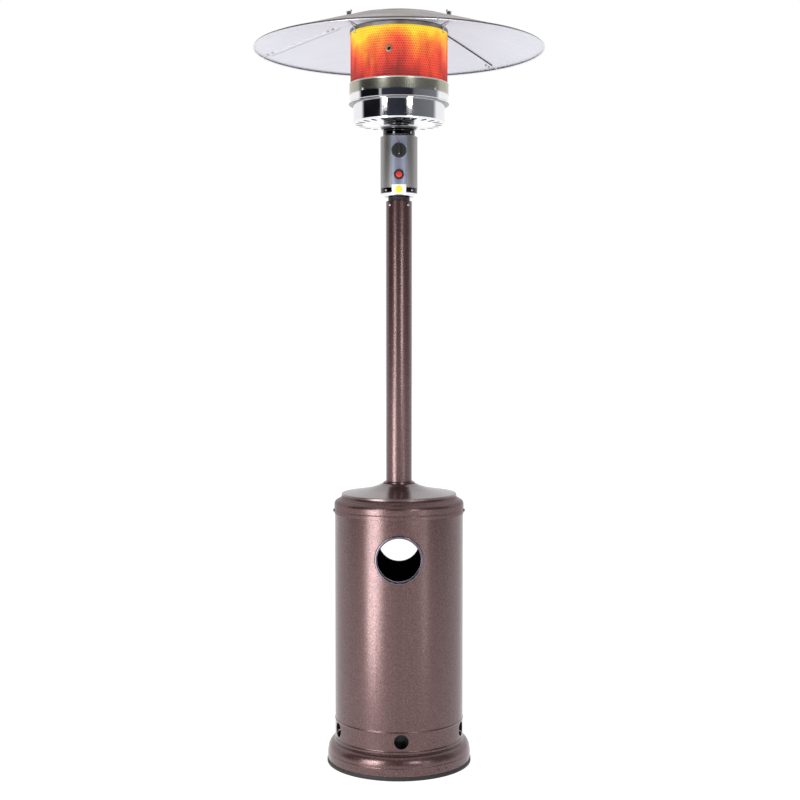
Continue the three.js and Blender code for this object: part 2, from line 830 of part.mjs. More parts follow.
function reflectorSkin() {
  const dome = pressed([
    [REFLECTOR_R - 4, 0],
    [REFLECTOR_R - 1, -1],
    [REFLECTOR_R, 1],
    [REFLECTOR_R - 2, 5],
    [REFLECTOR_R - 26, 11],
    [300, 42],
    [220, 67],
    [PANEL_INNER_R, REFLECTOR_RISE],
  ], SHEET, ROUND_LARGE);
  return cut(dome, ...studHoles());
}

function reflectorPanel(skin, i) {
  const step = 360 / PANEL_COUNT;
  const gap = (SEAM_GAP / CROWN_R) * (90 / Math.PI);
  const from = SEAM_TURN + step * i + gap;
  return skin.intersect(asSolid(wedge(from, from + step - 2 * gap, REFLECTOR_R + 60, -20, 200)));
}

function reflectorCrown() {
  const edge = REFLECTOR_RISE - (CROWN_R - PANEL_INNER_R) * 0.275 + FIT;
  const plate = pressed([
    [CROWN_R, edge + SHEET],
    [PANEL_INNER_R, REFLECTOR_RISE + FIT + SHEET + 0.3],
    [90, edge + CROWN_RISE - 5],
    [0, edge + CROWN_RISE],
  ], SHEET, ROUND_LARGE);
  return cut(plate, ...studHoles());
}

const NUT_Z = REFLECTOR_RIM_Z + REFLECTOR_RISE - 2.5; // a wing nut's foot, on the crown
const STUD_TOP = NUT_Z + 10 - SCREEN_TOP;
function reflectorStud() {
  const side = SCREEN_R + 1.4 + 2 * FIT + STUD_R;
  return sweep([
    [side, 0, -20],
    [side, 0, -8],
    [side + 5, 0, 0],
    [STUD_TOP_R - 3, 0, 9],
    [STUD_TOP_R, 0, 15],
    [STUD_TOP_R, 0, 20],
    [STUD_TOP_R, 0, STUD_TOP],
  ], STUD_R, 20, 8);
}

function wingNut() {
  const hub = turned([[0, 0], [7, 0], [6, 8], [0, 8]], 12);
  const ears = [0, Math.PI].map((turn) => {
    const outline = [[4.5, 1], [9, 2], [15, 9], [12, 13], [5, 7]];
    const ear = new THREE.Shape(outline.map(([x, z]) => new THREE.Vector2(x, z)));
    const plate = new THREE.ExtrudeGeometry(ear, { depth: 3, bevelEnabled: false });
    return plate.translate(0, 0, -1.5).rotateX(Math.PI / 2).rotateZ(turn);
  });
  return cut(join(hub, ...ears), rod(STUD_R + FIT, -1, 9, 10));
}

// ---------------------------------------------------------------- assembly
const heater = new THREE.Group();

const base = new THREE.Group();
add(base, "base_pan", basePan(), bronze);
add(base, "base_edge_trim", baseEdgeTrim(), rubber);
for (let i = 0; i < LEG_COUNT; i++) {
  const leg = add(base, `support_leg_${i + 1}`, supportLeg(), zinc);
  leg.rotation.z = rad((360 / LEG_COUNT) * i);
}
heater.add(base);

const gas = new THREE.Group();
add(gas, "gas_cylinder", gasCylinder(), tankPaint);
add(gas, "cylinder_collar", guardCollar(), tankPaint);
add(gas, "cylinder_valve", cylinderValve(), brass);
add(gas, "valve_handwheel", valveHandwheel(), blackPlastic);
add(gas, "coupling_nut", couplingNut(), blackPlastic);
add(gas, "regulator", regulator(), zinc);
add(gas, "gas_hose", gasHose(), rubber);
add(gas, "cylinder_strap", cylinderStrap(), webbing);
heater.add(gas);

const housing = new THREE.Group();
add(housing, "housing_shell", housingShell(), bronze);
add(housing, "housing_lid", housingLid(), bronze);
add(housing, "lid_collar", lidCollar(), bronze);
add(housing, "front_hole_trim", handHoleTrim(), zinc);
add(housing, "rear_hole_trim", handHoleTrim(), zinc).rotation.z = Math.PI;
add(housing, "lid_guide_bush", lidGuideBush(), nylon);
for (let i = 0; i < LID_SCREW_COUNT; i++) {
  const screw = add(housing, `lid_screw_${i + 1}`, lidScrew(), zinc);
  screw.rotation.z = rad((360 / LID_SCREW_COUNT) * i);
}
heater.add(housing);

add(heater, "pole", pole(), bronze);

const neck = new THREE.Group();
neck.position.z = POLE_TOP;
add(neck, "head_socket", headSocket(), chrome);
add(neck, "bottom_cup", bottomCup(), chrome);
heater.add(neck);

const controls = new THREE.Group();
controls.position.z = CONTROL_Z;
add(controls, "control_shell_front", controlShell(-1), brushed);
add(controls, "control_shell_rear", controlShell(1), brushed);
add(controls, "control_panel", controlPanel(), panelFilm);
add(controls, "control_knob", controlKnob(), blackPlastic).position.z = KNOB_RISE;
add(controls, "valve_stem", valveStem(), brass).position.z = KNOB_RISE;
add(controls, "valve_thrust_washer", valveThrustWasher(), zinc).position.z = KNOB_RISE;
add(controls, "gas_control_valve", gasControlValve(), zinc).position.z = KNOB_RISE;
add(controls, "igniter_button", igniterButton(), redPlastic).position.z = BUTTON_RISE;
add(controls, "igniter_body", igniterBody(), blackPlastic).position.z = BUTTON_RISE;
add(controls, "valve_bracket", valveBracket(), zinc).position.z = KNOB_RISE;
add(controls, "injector", injector(), brass).position.z = KNOB_RISE;
add(controls, "tilt_switch", tiltSwitch(), blackPlastic).position.z = 40;
heater.add(controls);

add(heater, "neck_collar", neckCollar(), chrome).position.z = CONTROL_TOP;

const burner = new THREE.Group();
burner.position.z = BOWL_Z;
add(burner, "burner_bowl", burnerBowl(), chrome);
add(burner, "burner_ring", burnerRing(), chrome).position.z = BOWL_TOP;
add(burner, "mixing_tube", mixingTube(), heatSteel);
add(burner, "burner_head", burnerHead(), heatSteel);
add(burner, "pilot_shelf", pilotShelf(), heatSteel);
add(burner, "pilot_burner", pilotBurner(), heatSteel);
add(burner, "thermocouple", pilotRod(-8, 2.5, 40), copper);
add(burner, "spark_electrode", pilotRod(2, 3, 34), ceramic);
heater.add(burner);

add(heater, "emitter_screen", emitterScreen(), glowSteel).position.z = SCREEN_Z;
add(heater, "emitter_cap", emitterCap(), heatSteel).position.z = SCREEN_TOP;

const reflector = new THREE.Group();
reflector.position.z = REFLECTOR_RIM_Z;
const skin = reflectorSkin();
for (let i = 0; i < PANEL_COUNT; i++) {
  add(reflector, `reflector_panel_${i + 1}`, reflectorPanel(skin, i), mirrorAluminium);
}
add(reflector, "reflector_crown", reflectorCrown(), mirrorAluminium);
heater.add(reflector);

for (let i = 0; i < PANEL_COUNT; i++) {
  const stud = add(heater, `reflector_stud_${i + 1}`, reflectorStud(), zinc);
  stud.position.z = SCREEN_TOP;
  stud.rotation.z = studBearing(i);
  const nut = add(heater, `wing_nut_${i + 1}`, wingNut(), zinc);
  const bearing = studBearing(i);
  nut.position.set(
    STUD_TOP_R * Math.cos(bearing),
    STUD_TOP_R * Math.sin(bearing),
    NUT_Z,
  );
  nut.rotation.z = bearing + Math.PI / 2;
}

export default heater;
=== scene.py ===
"""Patio heater: the visual model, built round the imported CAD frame. Metres, +Z up, front towards -Y."""
import math

import bmesh
import bpy
from mathutils import Matrix, Vector


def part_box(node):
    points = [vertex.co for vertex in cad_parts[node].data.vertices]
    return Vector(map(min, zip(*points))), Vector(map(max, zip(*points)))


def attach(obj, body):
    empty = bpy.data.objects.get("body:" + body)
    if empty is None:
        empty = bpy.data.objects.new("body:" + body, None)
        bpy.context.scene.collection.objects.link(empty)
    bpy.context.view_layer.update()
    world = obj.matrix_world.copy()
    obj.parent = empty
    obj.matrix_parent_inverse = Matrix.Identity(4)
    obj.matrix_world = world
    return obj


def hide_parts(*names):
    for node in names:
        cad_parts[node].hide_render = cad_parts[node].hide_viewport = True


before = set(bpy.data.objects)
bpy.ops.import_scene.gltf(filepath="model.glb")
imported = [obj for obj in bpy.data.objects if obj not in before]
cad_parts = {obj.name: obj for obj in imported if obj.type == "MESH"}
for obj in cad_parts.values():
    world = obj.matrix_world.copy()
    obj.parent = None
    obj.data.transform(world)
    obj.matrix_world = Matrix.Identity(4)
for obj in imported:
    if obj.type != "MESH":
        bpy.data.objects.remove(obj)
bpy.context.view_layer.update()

MM = 0.001
TAU = 2 * math.pi
FINE = 192  # facets round a large turned piece
MEDIUM = 96
SMALL = 32
SHEET = 1.2 * MM
SHARP = math.radians(33)  # an edge bent more than this stays crisp

STAND = "stand"
HOUSING = "housing"


# ---------- where the CAD pieces are
def extent(node):
    """Half width in X, lowest and highest point of a CAD node."""
    low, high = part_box(node)
    return (high.x - low.x) / 2, low.z, high.z


BASE_R, BASE_FOOT, BASE_SEAT = extent("base_pan")
TRIM_R, TRIM_FOOT, TRIM_TOP = extent("base_edge_trim")
SHELL_FOOT_R, SHELL_FOOT, SHELL_TOP = extent("housing_shell")
SHELL_R = SHELL_FOOT_R - 2.4 * MM
LID_R, LID_FOOT = extent("housing_lid")[:2]
LID_TOP = extent("lid_collar")[2]
LIP_R = 170 * MM  # outer edge of the lid's cone
LIP_Z = 800 * MM
VENT_R = 21 * MM
VENT_RISE = 36 * MM  # vent centre above the housing's lower edge
VENT_COUNT = 5
KIT_HOLE_R = 3 * MM
KIT_HOLE_Z = 24 * MM
KIT_HOLE_DEGREES = (32.5, 40)
POLE_R, POLE_FOOT, POLE_TOP = extent("pole")
SOCKET_FOOT, SOCKET_TOP = extent("head_socket")[1:]
CUP_R, CUP_FOOT, CUP_TOP = extent("bottom_cup")
CASE_R, CASE_FOOT, CASE_TOP = extent("control_shell_front")
NECK_FOOT_R, NECK_FOOT, NECK_TOP = extent("neck_collar")
NECK_R = 47 * MM
BOWL_R = 134 * MM  # the bowl's upright band
SLOT_COUNT = 24
BOWL_FLANGE_R, BOWL_FOOT, BOWL_TOP = extent("burner_bowl")
RING_R, RING_FOOT, RING_TOP = extent("burner_ring")
PAINTED_OLIVE_FOOT = RING_FOOT + 25 * MM  # where the olive tone starts: painted reflection, and partly heat tint
SCREEN_R, SCREEN_FOOT = extent("emitter_screen")[:2]
CAP_R, CAP_FOOT, CAP_TOP = extent("emitter_cap")
DISH_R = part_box("reflector_panel_3")[1].x
DISH_FOOT, DISH_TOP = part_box("reflector_panel_3")[0].z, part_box("reflector_panel_3")[1].z
CROWN_R, CROWN_FOOT, CROWN_TOP = extent("reflector_crown")
HAND_Z = sum(corner.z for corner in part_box("front_hole_trim")) / 2
HAND_TRIM_R = extent("front_hole_trim")[0]
KNOB_R = extent("control_knob")[0]
KNOB_Z = sum(corner.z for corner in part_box("control_knob")) / 2
KNOB_BACK = -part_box("control_knob")[1].y
BUTTON_Z = sum(corner.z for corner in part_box("igniter_button")) / 2
BUTTON_R = extent("igniter_button")[0]
BUTTON_BACK = -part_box("igniter_button")[1].y
BUTTON_FRONT = -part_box("igniter_button")[0].y
LABEL_Z = 1690.5 * MM  # middle of the label


# ---------- materials
class Tree:
    """Adds shader nodes to a node tree and links them."""

    def __init__(self, tree):
        self.tree = tree

    def set(self, node, key, value):
        if isinstance(value, bpy.types.NodeSocket):
            self.tree.links.new(value, node.inputs[key])
        else:
            node.inputs[key].default_value = value

    def node(self, kind, inputs, **settings):
        made = self.tree.nodes.new("ShaderNode" + kind)
        for key, value in settings.items():
            setattr(made, key, value)
        for key, value in inputs.items():
            self.set(made, key, value)
        return made

    def math(self, operation, a, b=0.0, c=0.0):
        return self.node("Math", {0: a, 1: b, 2: c}, operation=operation).outputs[0]

    def spread(self, value, low, high, start=0.0, end=1.0):
        inputs = {"Value": value, "From Min": low, "From Max": high, "To Min": start, "To Max": end}
        return self.node("MapRange", inputs).outputs[0]

    def mixed(self, factor, a, b):
        made = self.node("Mix", {}, data_type="RGBA")
        self.set(made, 0, factor)
        self.set(made, 6, a if isinstance(a, bpy.types.NodeSocket) else (*a, 1))
        self.set(made, 7, b if isinstance(b, bpy.types.NodeSocket) else (*b, 1))
        return made.outputs[2]

    def ramp(self, factor, *stops):
        made = self.node("ValToRGB", {"Fac": factor})
        elements = made.color_ramp.elements
        while len(elements) < len(stops):
            elements.new(0.5)
        for element, (position, color) in zip(elements, stops):
            element.position = position
            element.color = (*color, 1)
        return made.outputs["Color"]


class Paint(Tree):
    """A Principled material whose inputs are fed by small procedural chains in object space."""

    def __init__(self, name, color, roughness, metallic=0.0, **inputs):
        self.material = bpy.data.materials.new(name)
        self.material.use_nodes = True
        super().__init__(self.material.node_tree)
        self.shader = self.tree.nodes["Principled BSDF"]
        self.set(self.shader, "Base Color", (*color, 1))
        self.set(self.shader, "Roughness", roughness)
        self.set(self.shader, "Metallic", metallic)
        for key, value in inputs.items():
            self.set(self.shader, key.replace("_", " "), value)
        self.coords = self.node("TexCoord", {}).outputs["Object"]

    def place(self):
        return self.node("SeparateXYZ", {"Vector": self.coords}).outputs

    def scaled(self, x, y, z):
        return self.node("Mapping", {"Vector": self.coords, "Scale": (x, y, z)}).outputs[0]

    def noise(self, scale, detail=3.0, stretch=(1, 1, 1), rough=0.5):
        vector = self.scaled(*stretch)
        inputs = {"Vector": vector, "Scale": scale, "Detail": detail, "Roughness": rough}
        made = self.node("TexNoise", inputs)
        return made.outputs["Fac"]

    def cells(self, scale, stretch=(1, 1, 1)):
        inputs = {"Vector": self.scaled(*stretch), "Scale": scale}
        made = self.node("TexVoronoi", inputs, feature="SMOOTH_F1")
        return made.outputs["Distance"]

    def color(self, socket):
        self.set(self.shader, "Base Color", socket)

    def roughness(self, socket):
        self.set(self.shader, "Roughness", socket)

    def bump(self, height, distance, strength=1.0):
        made = self.node("Bump", {"Height": height, "Distance": distance, "Strength": strength})
        self.set(self.shader, "Normal", made.outputs[0])


def hammered_bronze(name, coat_ior, coat_foot):
    """Speckled bronze paint, with a deeper coat of lacquer above a height."""
    paint = Paint(name, (0.14, 0.085, 0.085), 0.36, 0.7, Coat_Roughness=0.26, Coat_IOR=coat_ior,
                  Specular_Tint=(0.4, 0.32, 0.37, 1))
    height = paint.place()["Z"]
    paint.set(paint.shader, "Coat Weight", paint.spread(height, coat_foot, coat_foot + 5 * MM, 0.35, 1.0))
    cells = paint.cells(230)
    flecks = paint.noise(900, 2)
    cloud = paint.noise(9, 4)
    base = paint.mixed(cells, (0.12, 0.05, 0.048), (0.038, 0.015, 0.015))
    fleck_mask = paint.spread(flecks, 0.58, 0.7)
    paint.color(paint.mixed(fleck_mask, base, (0.3, 0.2, 0.2)))
    mottled = paint.math("ADD", paint.math("MULTIPLY", cells, 0.16), paint.math("MULTIPLY", cloud, 0.16))
    paint.roughness(paint.math("ADD", mottled, 0.16))
    relief = paint.math("ADD", cells, paint.math("MULTIPLY", flecks, 0.25))
    paint.bump(relief, 0.3 * MM, 0.6)
    return paint.material


def painted_dark_reflection_chrome(name, mirror_foot, mirror_top, mirror_reach):
    """Chrome with a painted dark reflection: bright chrome only between two heights and beyond a reach from
    the axis, painted near black elsewhere.
    """
    paint = Paint(name, (0.86, 0.86, 0.89), 0.07, 1.0)
    place = paint.place()
    height = place["Z"]
    squares = [paint.math("POWER", place[axis], 2.0) for axis in ("X", "Y")]
    reach = paint.math("SQRT", paint.math("ADD", *squares))
    above = paint.spread(height, mirror_foot, mirror_foot + 1 * MM)
    below = paint.spread(height, mirror_top, mirror_top + 1 * MM, 1.0, 0.0)
    beyond = paint.spread(reach, mirror_reach, mirror_reach + 6 * MM)
    clear = paint.math("MULTIPLY", paint.math("MULTIPLY", above, below), beyond)
    # painted reflection: the near-black colour stands in for the dark room mirrored in the chrome
    paint.color(paint.mixed(clear, (0.045, 0.045, 0.05), (0.84, 0.84, 0.87)))
    paint.roughness(paint.spread(paint.noise(28, 5), 0.3, 0.8, 0.05, 0.14))
    paint.bump(paint.noise(14, 2), 0.35 * MM, 0.12)
    return paint.material


def band_steel():
    """Polished steel whose upper part is olive: painted reflection, and partly heat tint."""
    paint = Paint("band_steel", (0.86, 0.86, 0.89), 0.06, 1.0)
    place = paint.place()
    height = paint.math("ADD", place["Z"], paint.math("MULTIPLY", paint.noise(40, 2), 2 * MM))
    tint = paint.spread(height, PAINTED_OLIVE_FOOT, PAINTED_OLIVE_FOOT + 5 * MM)
    below = paint.spread(height, RING_TOP - 2 * MM, RING_TOP - 0.5 * MM, 1.0, 0.0)
    tint = paint.math("MULTIPLY", tint, below)
    # painted reflection, and partly heat tint: the olive tone over the band's upper part
    olive = paint.mixed(paint.noise(30, 4), (0.34, 0.34, 0.27), (0.5, 0.49, 0.4))
    # painted shade: the band's foot, where it sits on the bowl, is near black
    lip = paint.spread(place["Z"], RING_FOOT + 0.6 * MM, RING_FOOT + 1.4 * MM)
    steel = paint.mixed(lip, (0.03, 0.03, 0.035), (0.86, 0.86, 0.89))
    paint.color(paint.mixed(tint, steel, olive))
    paint.roughness(paint.spread(tint, 0.0, 1.0, 0.06, 0.26))
    paint.bump(paint.noise(14, 2), 0.35 * MM, 0.12)
    return paint.material


def brushed_steel():
    paint = Paint("brushed_steel", (0.5, 0.49, 0.47), 0.3, 1.0, Anisotropic=0.35)
    lines = paint.noise(40, 4, (1, 1, 60), 0.6)
    paint.color(paint.mixed(lines, (0.3, 0.295, 0.285), (0.4, 0.39, 0.38)))
    paint.roughness(paint.spread(lines, 0.25, 0.75, 0.34, 0.44))
    paint.bump(lines, 0.02 * MM, 0.4)
    return paint.material


def panel_film():
    paint = Paint("panel_film", (0.2, 0.22, 0.29), 0.38, 0.35)
    grain = paint.noise(420, 3)
    paint.color(paint.mixed(grain, (0.17, 0.19, 0.26), (0.25, 0.275, 0.35)))
    paint.roughness(paint.spread(grain, 0.3, 0.7, 0.3, 0.46))
    paint.bump(grain, 0.05 * MM, 0.4)
    return paint.material


def reflector_aluminium():
    paint = Paint("reflector_aluminium", (0.8, 0.8, 0.85), 0.34, 0.8)
    roll = paint.noise(7, 4, (1, 9, 1))
    haze = paint.noise(3.2, 3)
    paint.color(paint.mixed(haze, (0.62, 0.62, 0.69), (0.74, 0.74, 0.8)))
    paint.roughness(paint.spread(roll, 0.3, 0.75, 0.28, 0.42))
    paint.bump(roll, 0.3 * MM, 0.25)
    return paint.material


def reflector_back():
    """The reflector's upper face, darker and browner than its underside."""
    paint = Paint("reflector_back", (0.2, 0.15, 0.14), 0.3, 1.0)
    haze = paint.noise(8, 4)
    paint.color(paint.mixed(haze, (0.10, 0.066, 0.062), (0.2, 0.15, 0.145)))
    paint.roughness(paint.spread(haze, 0.3, 0.75, 0.24, 0.4))
    paint.bump(paint.noise(30, 3), 0.3 * MM, 0.2)
    return paint.material


def zinc():
    paint = Paint("zinc_plate", (0.5, 0.5, 0.52), 0.3, 1.0)
    spangle = paint.cells(170)
    paint.color(paint.mixed(spangle, (0.58, 0.58, 0.62), (0.36, 0.36, 0.38)))
    paint.roughness(paint.spread(spangle, 0.0, 0.8, 0.22, 0.42))
    paint.bump(paint.noise(500, 2), 0.04 * MM, 0.4)
    return paint.material


def trim_metal():
    paint = Paint("hole_trim_metal", (0.26, 0.22, 0.27), 0.25, 1.0)
    worn = paint.noise(90, 4)
    paint.color(paint.mixed(worn, (0.09, 0.07, 0.09), (0.2, 0.17, 0.21)))
    paint.roughness(paint.spread(worn, 0.3, 0.7, 0.16, 0.34))
    paint.bump(worn, 0.08 * MM, 0.4)
    return paint.material


def heat_steel():
    paint = Paint("heat_tinted_steel", (0.17, 0.16, 0.15), 0.38, 1.0)
    tint = paint.noise(18, 4)
    stops = (0.3, (0.13, 0.12, 0.1)), (0.55, (0.27, 0.25, 0.22)), (0.75, (0.16, 0.17, 0.21))
    paint.color(paint.ramp(tint, *stops))
    paint.roughness(paint.spread(tint, 0.3, 0.7, 0.3, 0.5))
    paint.bump(paint.noise(240, 3), 0.06 * MM, 0.5)
    return paint.material


def plain(name, dark, light, roughness, grain, metallic=0.0, depth=0.08):
    """A moulded or plated finish with a fine grain that shows in colour, gloss and relief."""
    paint = Paint(name, dark, roughness, metallic)
    texture = paint.noise(grain, 4)
    paint.color(paint.mixed(texture, dark, light))
    paint.roughness(paint.spread(texture, 0.3, 0.7, roughness - 0.06, roughness + 0.1))
    paint.bump(texture, depth * MM, 0.5)
    return paint.material


def label_print():
    """A white label with one plain yellow patch."""
    paint = Paint("label_print", (0.86, 0.86, 0.85), 0.4)
    place = paint.place()
    side = paint.math("POWER", place["X"], 2.0)
    rise = paint.math("POWER", paint.math("SUBTRACT", place["Z"], LABEL_Z), 2.0)
    reach = paint.math("SQRT", paint.math("ADD", side, rise))
    yellow = paint.math("LESS_THAN", reach, 10.5 * MM)
    paint.color(paint.mixed(yellow, (0.8, 0.8, 0.8), (0.84, 0.7, 0.03)))
    paint.roughness(paint.spread(paint.noise(60, 2), 0.3, 0.7, 0.3, 0.5))
    return paint.material


def red_hot(name, strength):
    """Red-hot sheet: yellow near the top and over the flames, red below, with cooler streaks."""
    paint = Paint(name, (0.08, 0.02, 0.015), 0.6, 0.4)
    place = paint.place()
    height = paint.spread(place["Z"], RING_TOP, CAP_FOOT)
    bearing = paint.math("ARCTAN2", place["X"], paint.math("MULTIPLY", place["Y"], -1.0))
    lobes = paint.math("ABSOLUTE", paint.math("SINE", paint.math("MULTIPLY", bearing, 2.0)))
    patches = paint.math("SUBTRACT", paint.noise(15, 3, (1, 1, 0.8)), 0.5)
    heat = paint.math("ADD", height, paint.math("MULTIPLY", patches, 1.0))
    heat = paint.math("ADD", heat, paint.spread(lobes, 0.0, 1.0, -0.2, 0.14))
    color = paint.ramp(
        heat,
        (0.02, (0.30, 0.012, 0.012)),
        (0.22, (0.62, 0.035, 0.022)),
        (0.48, (0.86, 0.075, 0.03)),
        (0.68, (0.96, 0.19, 0.03)),
        (0.84, (1.0, 0.42, 0.025)),
        (0.97, (1.0, 0.74, 0.03)),
    )
    streaks = paint.noise(42, 3, (1, 1, 0.16))
    cool = paint.math("MULTIPLY", paint.spread(streaks, 0.5, 0.66), paint.spread(height, 0.0, 0.8, 0.8, 0.1))
    glow = paint.mixed(cool, color, (0.12, 0.014, 0.014))
    paint.set(paint.shader, "Emission Color", glow)
    paint.set(paint.shader, "Emission Strength", strength)
    paint.roughness(paint.spread(streaks, 0.3, 0.7, 0.5, 0.7))
    paint.bump(paint.noise(300, 2), 0.1 * MM, 0.4)
    return paint.material


BRONZE = hammered_bronze("hammered_bronze", 1.5, 0.0)
LID_BRONZE = hammered_bronze("lid_bronze", 2.0, LID_TOP - 36 * MM)
# painted dark reflection: the bowl's throat and flange top, the cup above its foot rim, and the whole neck
# ring
BOWL_CHROME = painted_dark_reflection_chrome("bowl_chrome", BOWL_FOOT, BOWL_TOP - 3 * MM, 52 * MM)
CUP_CHROME = painted_dark_reflection_chrome("cup_chrome", CUP_FOOT, CUP_FOOT + 9 * MM, 0.0)
NECK_CHROME = painted_dark_reflection_chrome("neck_chrome", NECK_TOP, NECK_TOP + 9 * MM, 0.0)
BAND_STEEL = band_steel()
BRUSHED = brushed_steel()
PANEL = panel_film()
DISH = reflector_aluminium()
DISH_BACK = reflector_back()
ZINC = zinc()
HOLE_TRIM = trim_metal()
HEAT_STEEL = heat_steel()
GLOW = red_hot("glowing_mesh", 1.0)
EMBER = red_hot("glow_behind_mesh", 0.62)
LABEL = label_print()
RUBBER = plain("black_rubber", (0.009, 0.009, 0.01), (0.02, 0.02, 0.022), 0.62, 380)
BLACK = plain("black_plastic", (0.003, 0.003, 0.004), (0.008, 0.008, 0.011), 0.5, 520)
RED = plain("red_plastic", (0.58, 0.02, 0.022), (0.7, 0.045, 0.04), 0.26, 420)
BRASS = plain("brass", (0.5, 0.34, 0.1), (0.66, 0.47, 0.17), 0.26, 160, 1.0)
COPPER = plain("copper", (0.5, 0.2, 0.1), (0.66, 0.3, 0.17), 0.28, 160, 1.0)
TANK_PAINT = plain("cylinder_paint", (0.02, 0.022, 0.024), (0.04, 0.042, 0.045), 0.45, 90)
WEBBING = plain("webbing", (0.015, 0.015, 0.017), (0.04, 0.04, 0.045), 0.8, 900, 0.0, 0.2)
CERAMIC = plain("ceramic", (0.7, 0.68, 0.62), (0.8, 0.78, 0.73), 0.3, 200)
# painted shade: a near-black finish for the faces and sheets that stand for shade
DARK = plain("painted_shade_black", (0.012, 0.011, 0.013), (0.03, 0.028, 0.032), 0.5, 260)


# ---------- mesh helpers
def crisp(mesh):
    """Smooth shading, with every edge that bends more than SHARP kept crisp."""
    work = bmesh.new()
    work.from_mesh(mesh)
    for face in work.faces:
        face.smooth = True
    for edge in work.edges:
        edge.smooth = not (edge.is_manifold and edge.calc_face_angle(0.0) > SHARP)
    work.to_mesh(mesh)
    work.free()


def piece(name, verts, faces, material, body, replaced=()):
    mesh = bpy.data.meshes.new(name)
    mesh.from_pydata([tuple(v) for v in verts], [], faces)
    mesh.validate()
    work = bmesh.new()
    work.from_mesh(mesh)
    bmesh.ops.remove_doubles(work, verts=work.verts, dist=1e-7)
    bmesh.ops.recalc_face_normals(work, faces=work.faces)
    work.to_mesh(mesh)
    work.free()
    crisp(mesh)
    mesh.materials.append(material)
    made = bpy.data.objects.new(name, mesh)
    bpy.context.scene.collection.objects.link(made)
    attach(made, body)
    if replaced:
        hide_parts(*replaced)
    return made


def rounded(profile, radius, steps=4):
    """A closed [radius, height] profile with its corners eased by up to radius."""
    eased = []
    count = len(profile)
    for i, (r, z) in enumerate(profile):
        here = Vector((r, z))
        before = Vector(profile[i - 1]) - here
        after = Vector(profile[(i + 1) % count]) - here
        bend = before.angle(after, math.pi)
        if r < 1e-6 or bend > math.radians(172) or min(before.length, after.length) < 1e-6:
            eased.append((r, z))
            continue
        reach = min(radius, before.length * 0.45, after.length * 0.45)
        start = here + before.normalized() * reach
        end = here + after.normalized() * reach
        for step in range(steps + 1):
            t = step / steps
            point = start * (1 - t) ** 2 + here * 2 * t * (1 - t) + end * t * t
            eased.append((point.x, point.y))
    return eased


def pressed(line, wall=SHEET):
    """The outer [radius, height] line of a pressed sheet, closed by its inner line."""
    inner = []
    for i, point in enumerate(line):
        before = Vector(point) - Vector(line[max(i - 1, 0)])
        after = Vector(line[min(i + 1, len(line) - 1)]) - Vector(point)
        along = (before.normalized() + after.normalized()).normalized()
        square = (after if after.length else before).normalized()
        stretch = 1 / max(0.5, along.dot(square))
        inner.append((point[0] - along.y * wall * stretch, point[1] + along.x * wall * stretch))
    return list(line) + inner[::-1]


def ring_mesh(profile, segments, start=0.0, sweep=TAU):
    """Turns a closed profile about +Z, all the way or through part of a turn with closed ends."""
    whole = abs(sweep - TAU) < 1e-9
    columns = segments if whole else segments + 1
    count = len(profile)
    verts = []
    for column in range(columns):
        turn = start + sweep * column / segments
        cos, sin = math.cos(turn), math.sin(turn)
        verts += [(r * cos, r * sin, z) for r, z in profile]
    faces = []
    for column in range(segments):
        a, b = column * count, ((column + 1) % columns) * count
        for i in range(count):
            j = (i + 1) % count
            faces.append((a + i, b + i, b + j, a + j))
    if not whole:
        last = (columns - 1) * count
        faces.append(tuple(range(count)))
        faces.append(tuple(last + i for i in reversed(range(count))))
    return verts, faces


def turned(name, profile, material, body, replaced=(), segments=MEDIUM, ease=0.5 * MM):
    verts, faces = ring_mesh(rounded(profile, ease), segments)
    return piece(name, verts, faces, material, body, replaced)


def moved(verts, matrix):
    return [matrix @ Vector(v) for v in verts]


def facing(azimuth, radius, height):
    """Places a shape modelled along +Z so that it points away from the pole at an azimuth from the front."""
    out = Matrix.Rotation(azimuth, 4, "Z") @ Matrix.Translation((0, -radius, height))
    return out @ Matrix.Rotation(math.pi / 2, 4, "X")


def carve(target, verts, faces):
    """Cuts closed bodies out of a piece, and keeps the result as its own mesh."""
    mesh = bpy.data.meshes.new("cutter")
    mesh.from_pydata([tuple(v) for v in verts], [], faces)
    work = bmesh.new()
    work.from_mesh(mesh)
    bmesh.ops.recalc_face_normals(work, faces=work.faces)
    work.to_mesh(mesh)
    work.free()
    cutter = bpy.data.objects.new("cutter", mesh)
    bpy.context.scene.collection.objects.link(cutter)
    boolean = target.modifiers.new("cut", "BOOLEAN")
    boolean.object = cutter
    boolean.operation = "DIFFERENCE"
    boolean.solver = "EXACT"
    bpy.context.view_layer.update()
    graph = bpy.context.evaluated_depsgraph_get()
    result = bpy.data.meshes.new_from_object(target.evaluated_get(graph))
    target.modifiers.remove(boolean)
    target.data = result
    bpy.data.objects.remove(cutter)
    crisp(target.data)


def merged(shapes):
    """Several (verts, faces) as one."""
    verts, faces = [], []
    for more_verts, more_faces in shapes:
        offset = len(verts)
        verts += [tuple(v) for v in more_verts]
        faces += [tuple(offset + i for i in face) for face in more_faces]
    return verts, faces


def solid_disc(radius, z0, z1, segments=SMALL):
    """A closed cylinder with no ring of doubled points on its axis."""
    verts = []
    for z in (z0, z1):
        verts += [(radius * math.cos(TAU * i / segments), radius * math.sin(TAU * i / segments), z)
                  for i in range(segments)]
    faces = [(i, (i + 1) % segments, segments + (i + 1) % segments, segments + i) for i in range(segments)]
    faces.append(tuple(reversed(range(segments))))
    faces.append(tuple(range(segments, 2 * segments)))
    return verts, faces


def outward_disc(radius, depth, azimuth, reach, height, segments=SMALL):
    """A closed cylinder that starts at a reach from the axis and points outward at an azimuth."""
    verts, faces = solid_disc(radius, 0, depth, segments)
    return moved(verts, facing(azimuth, reach, height)), faces


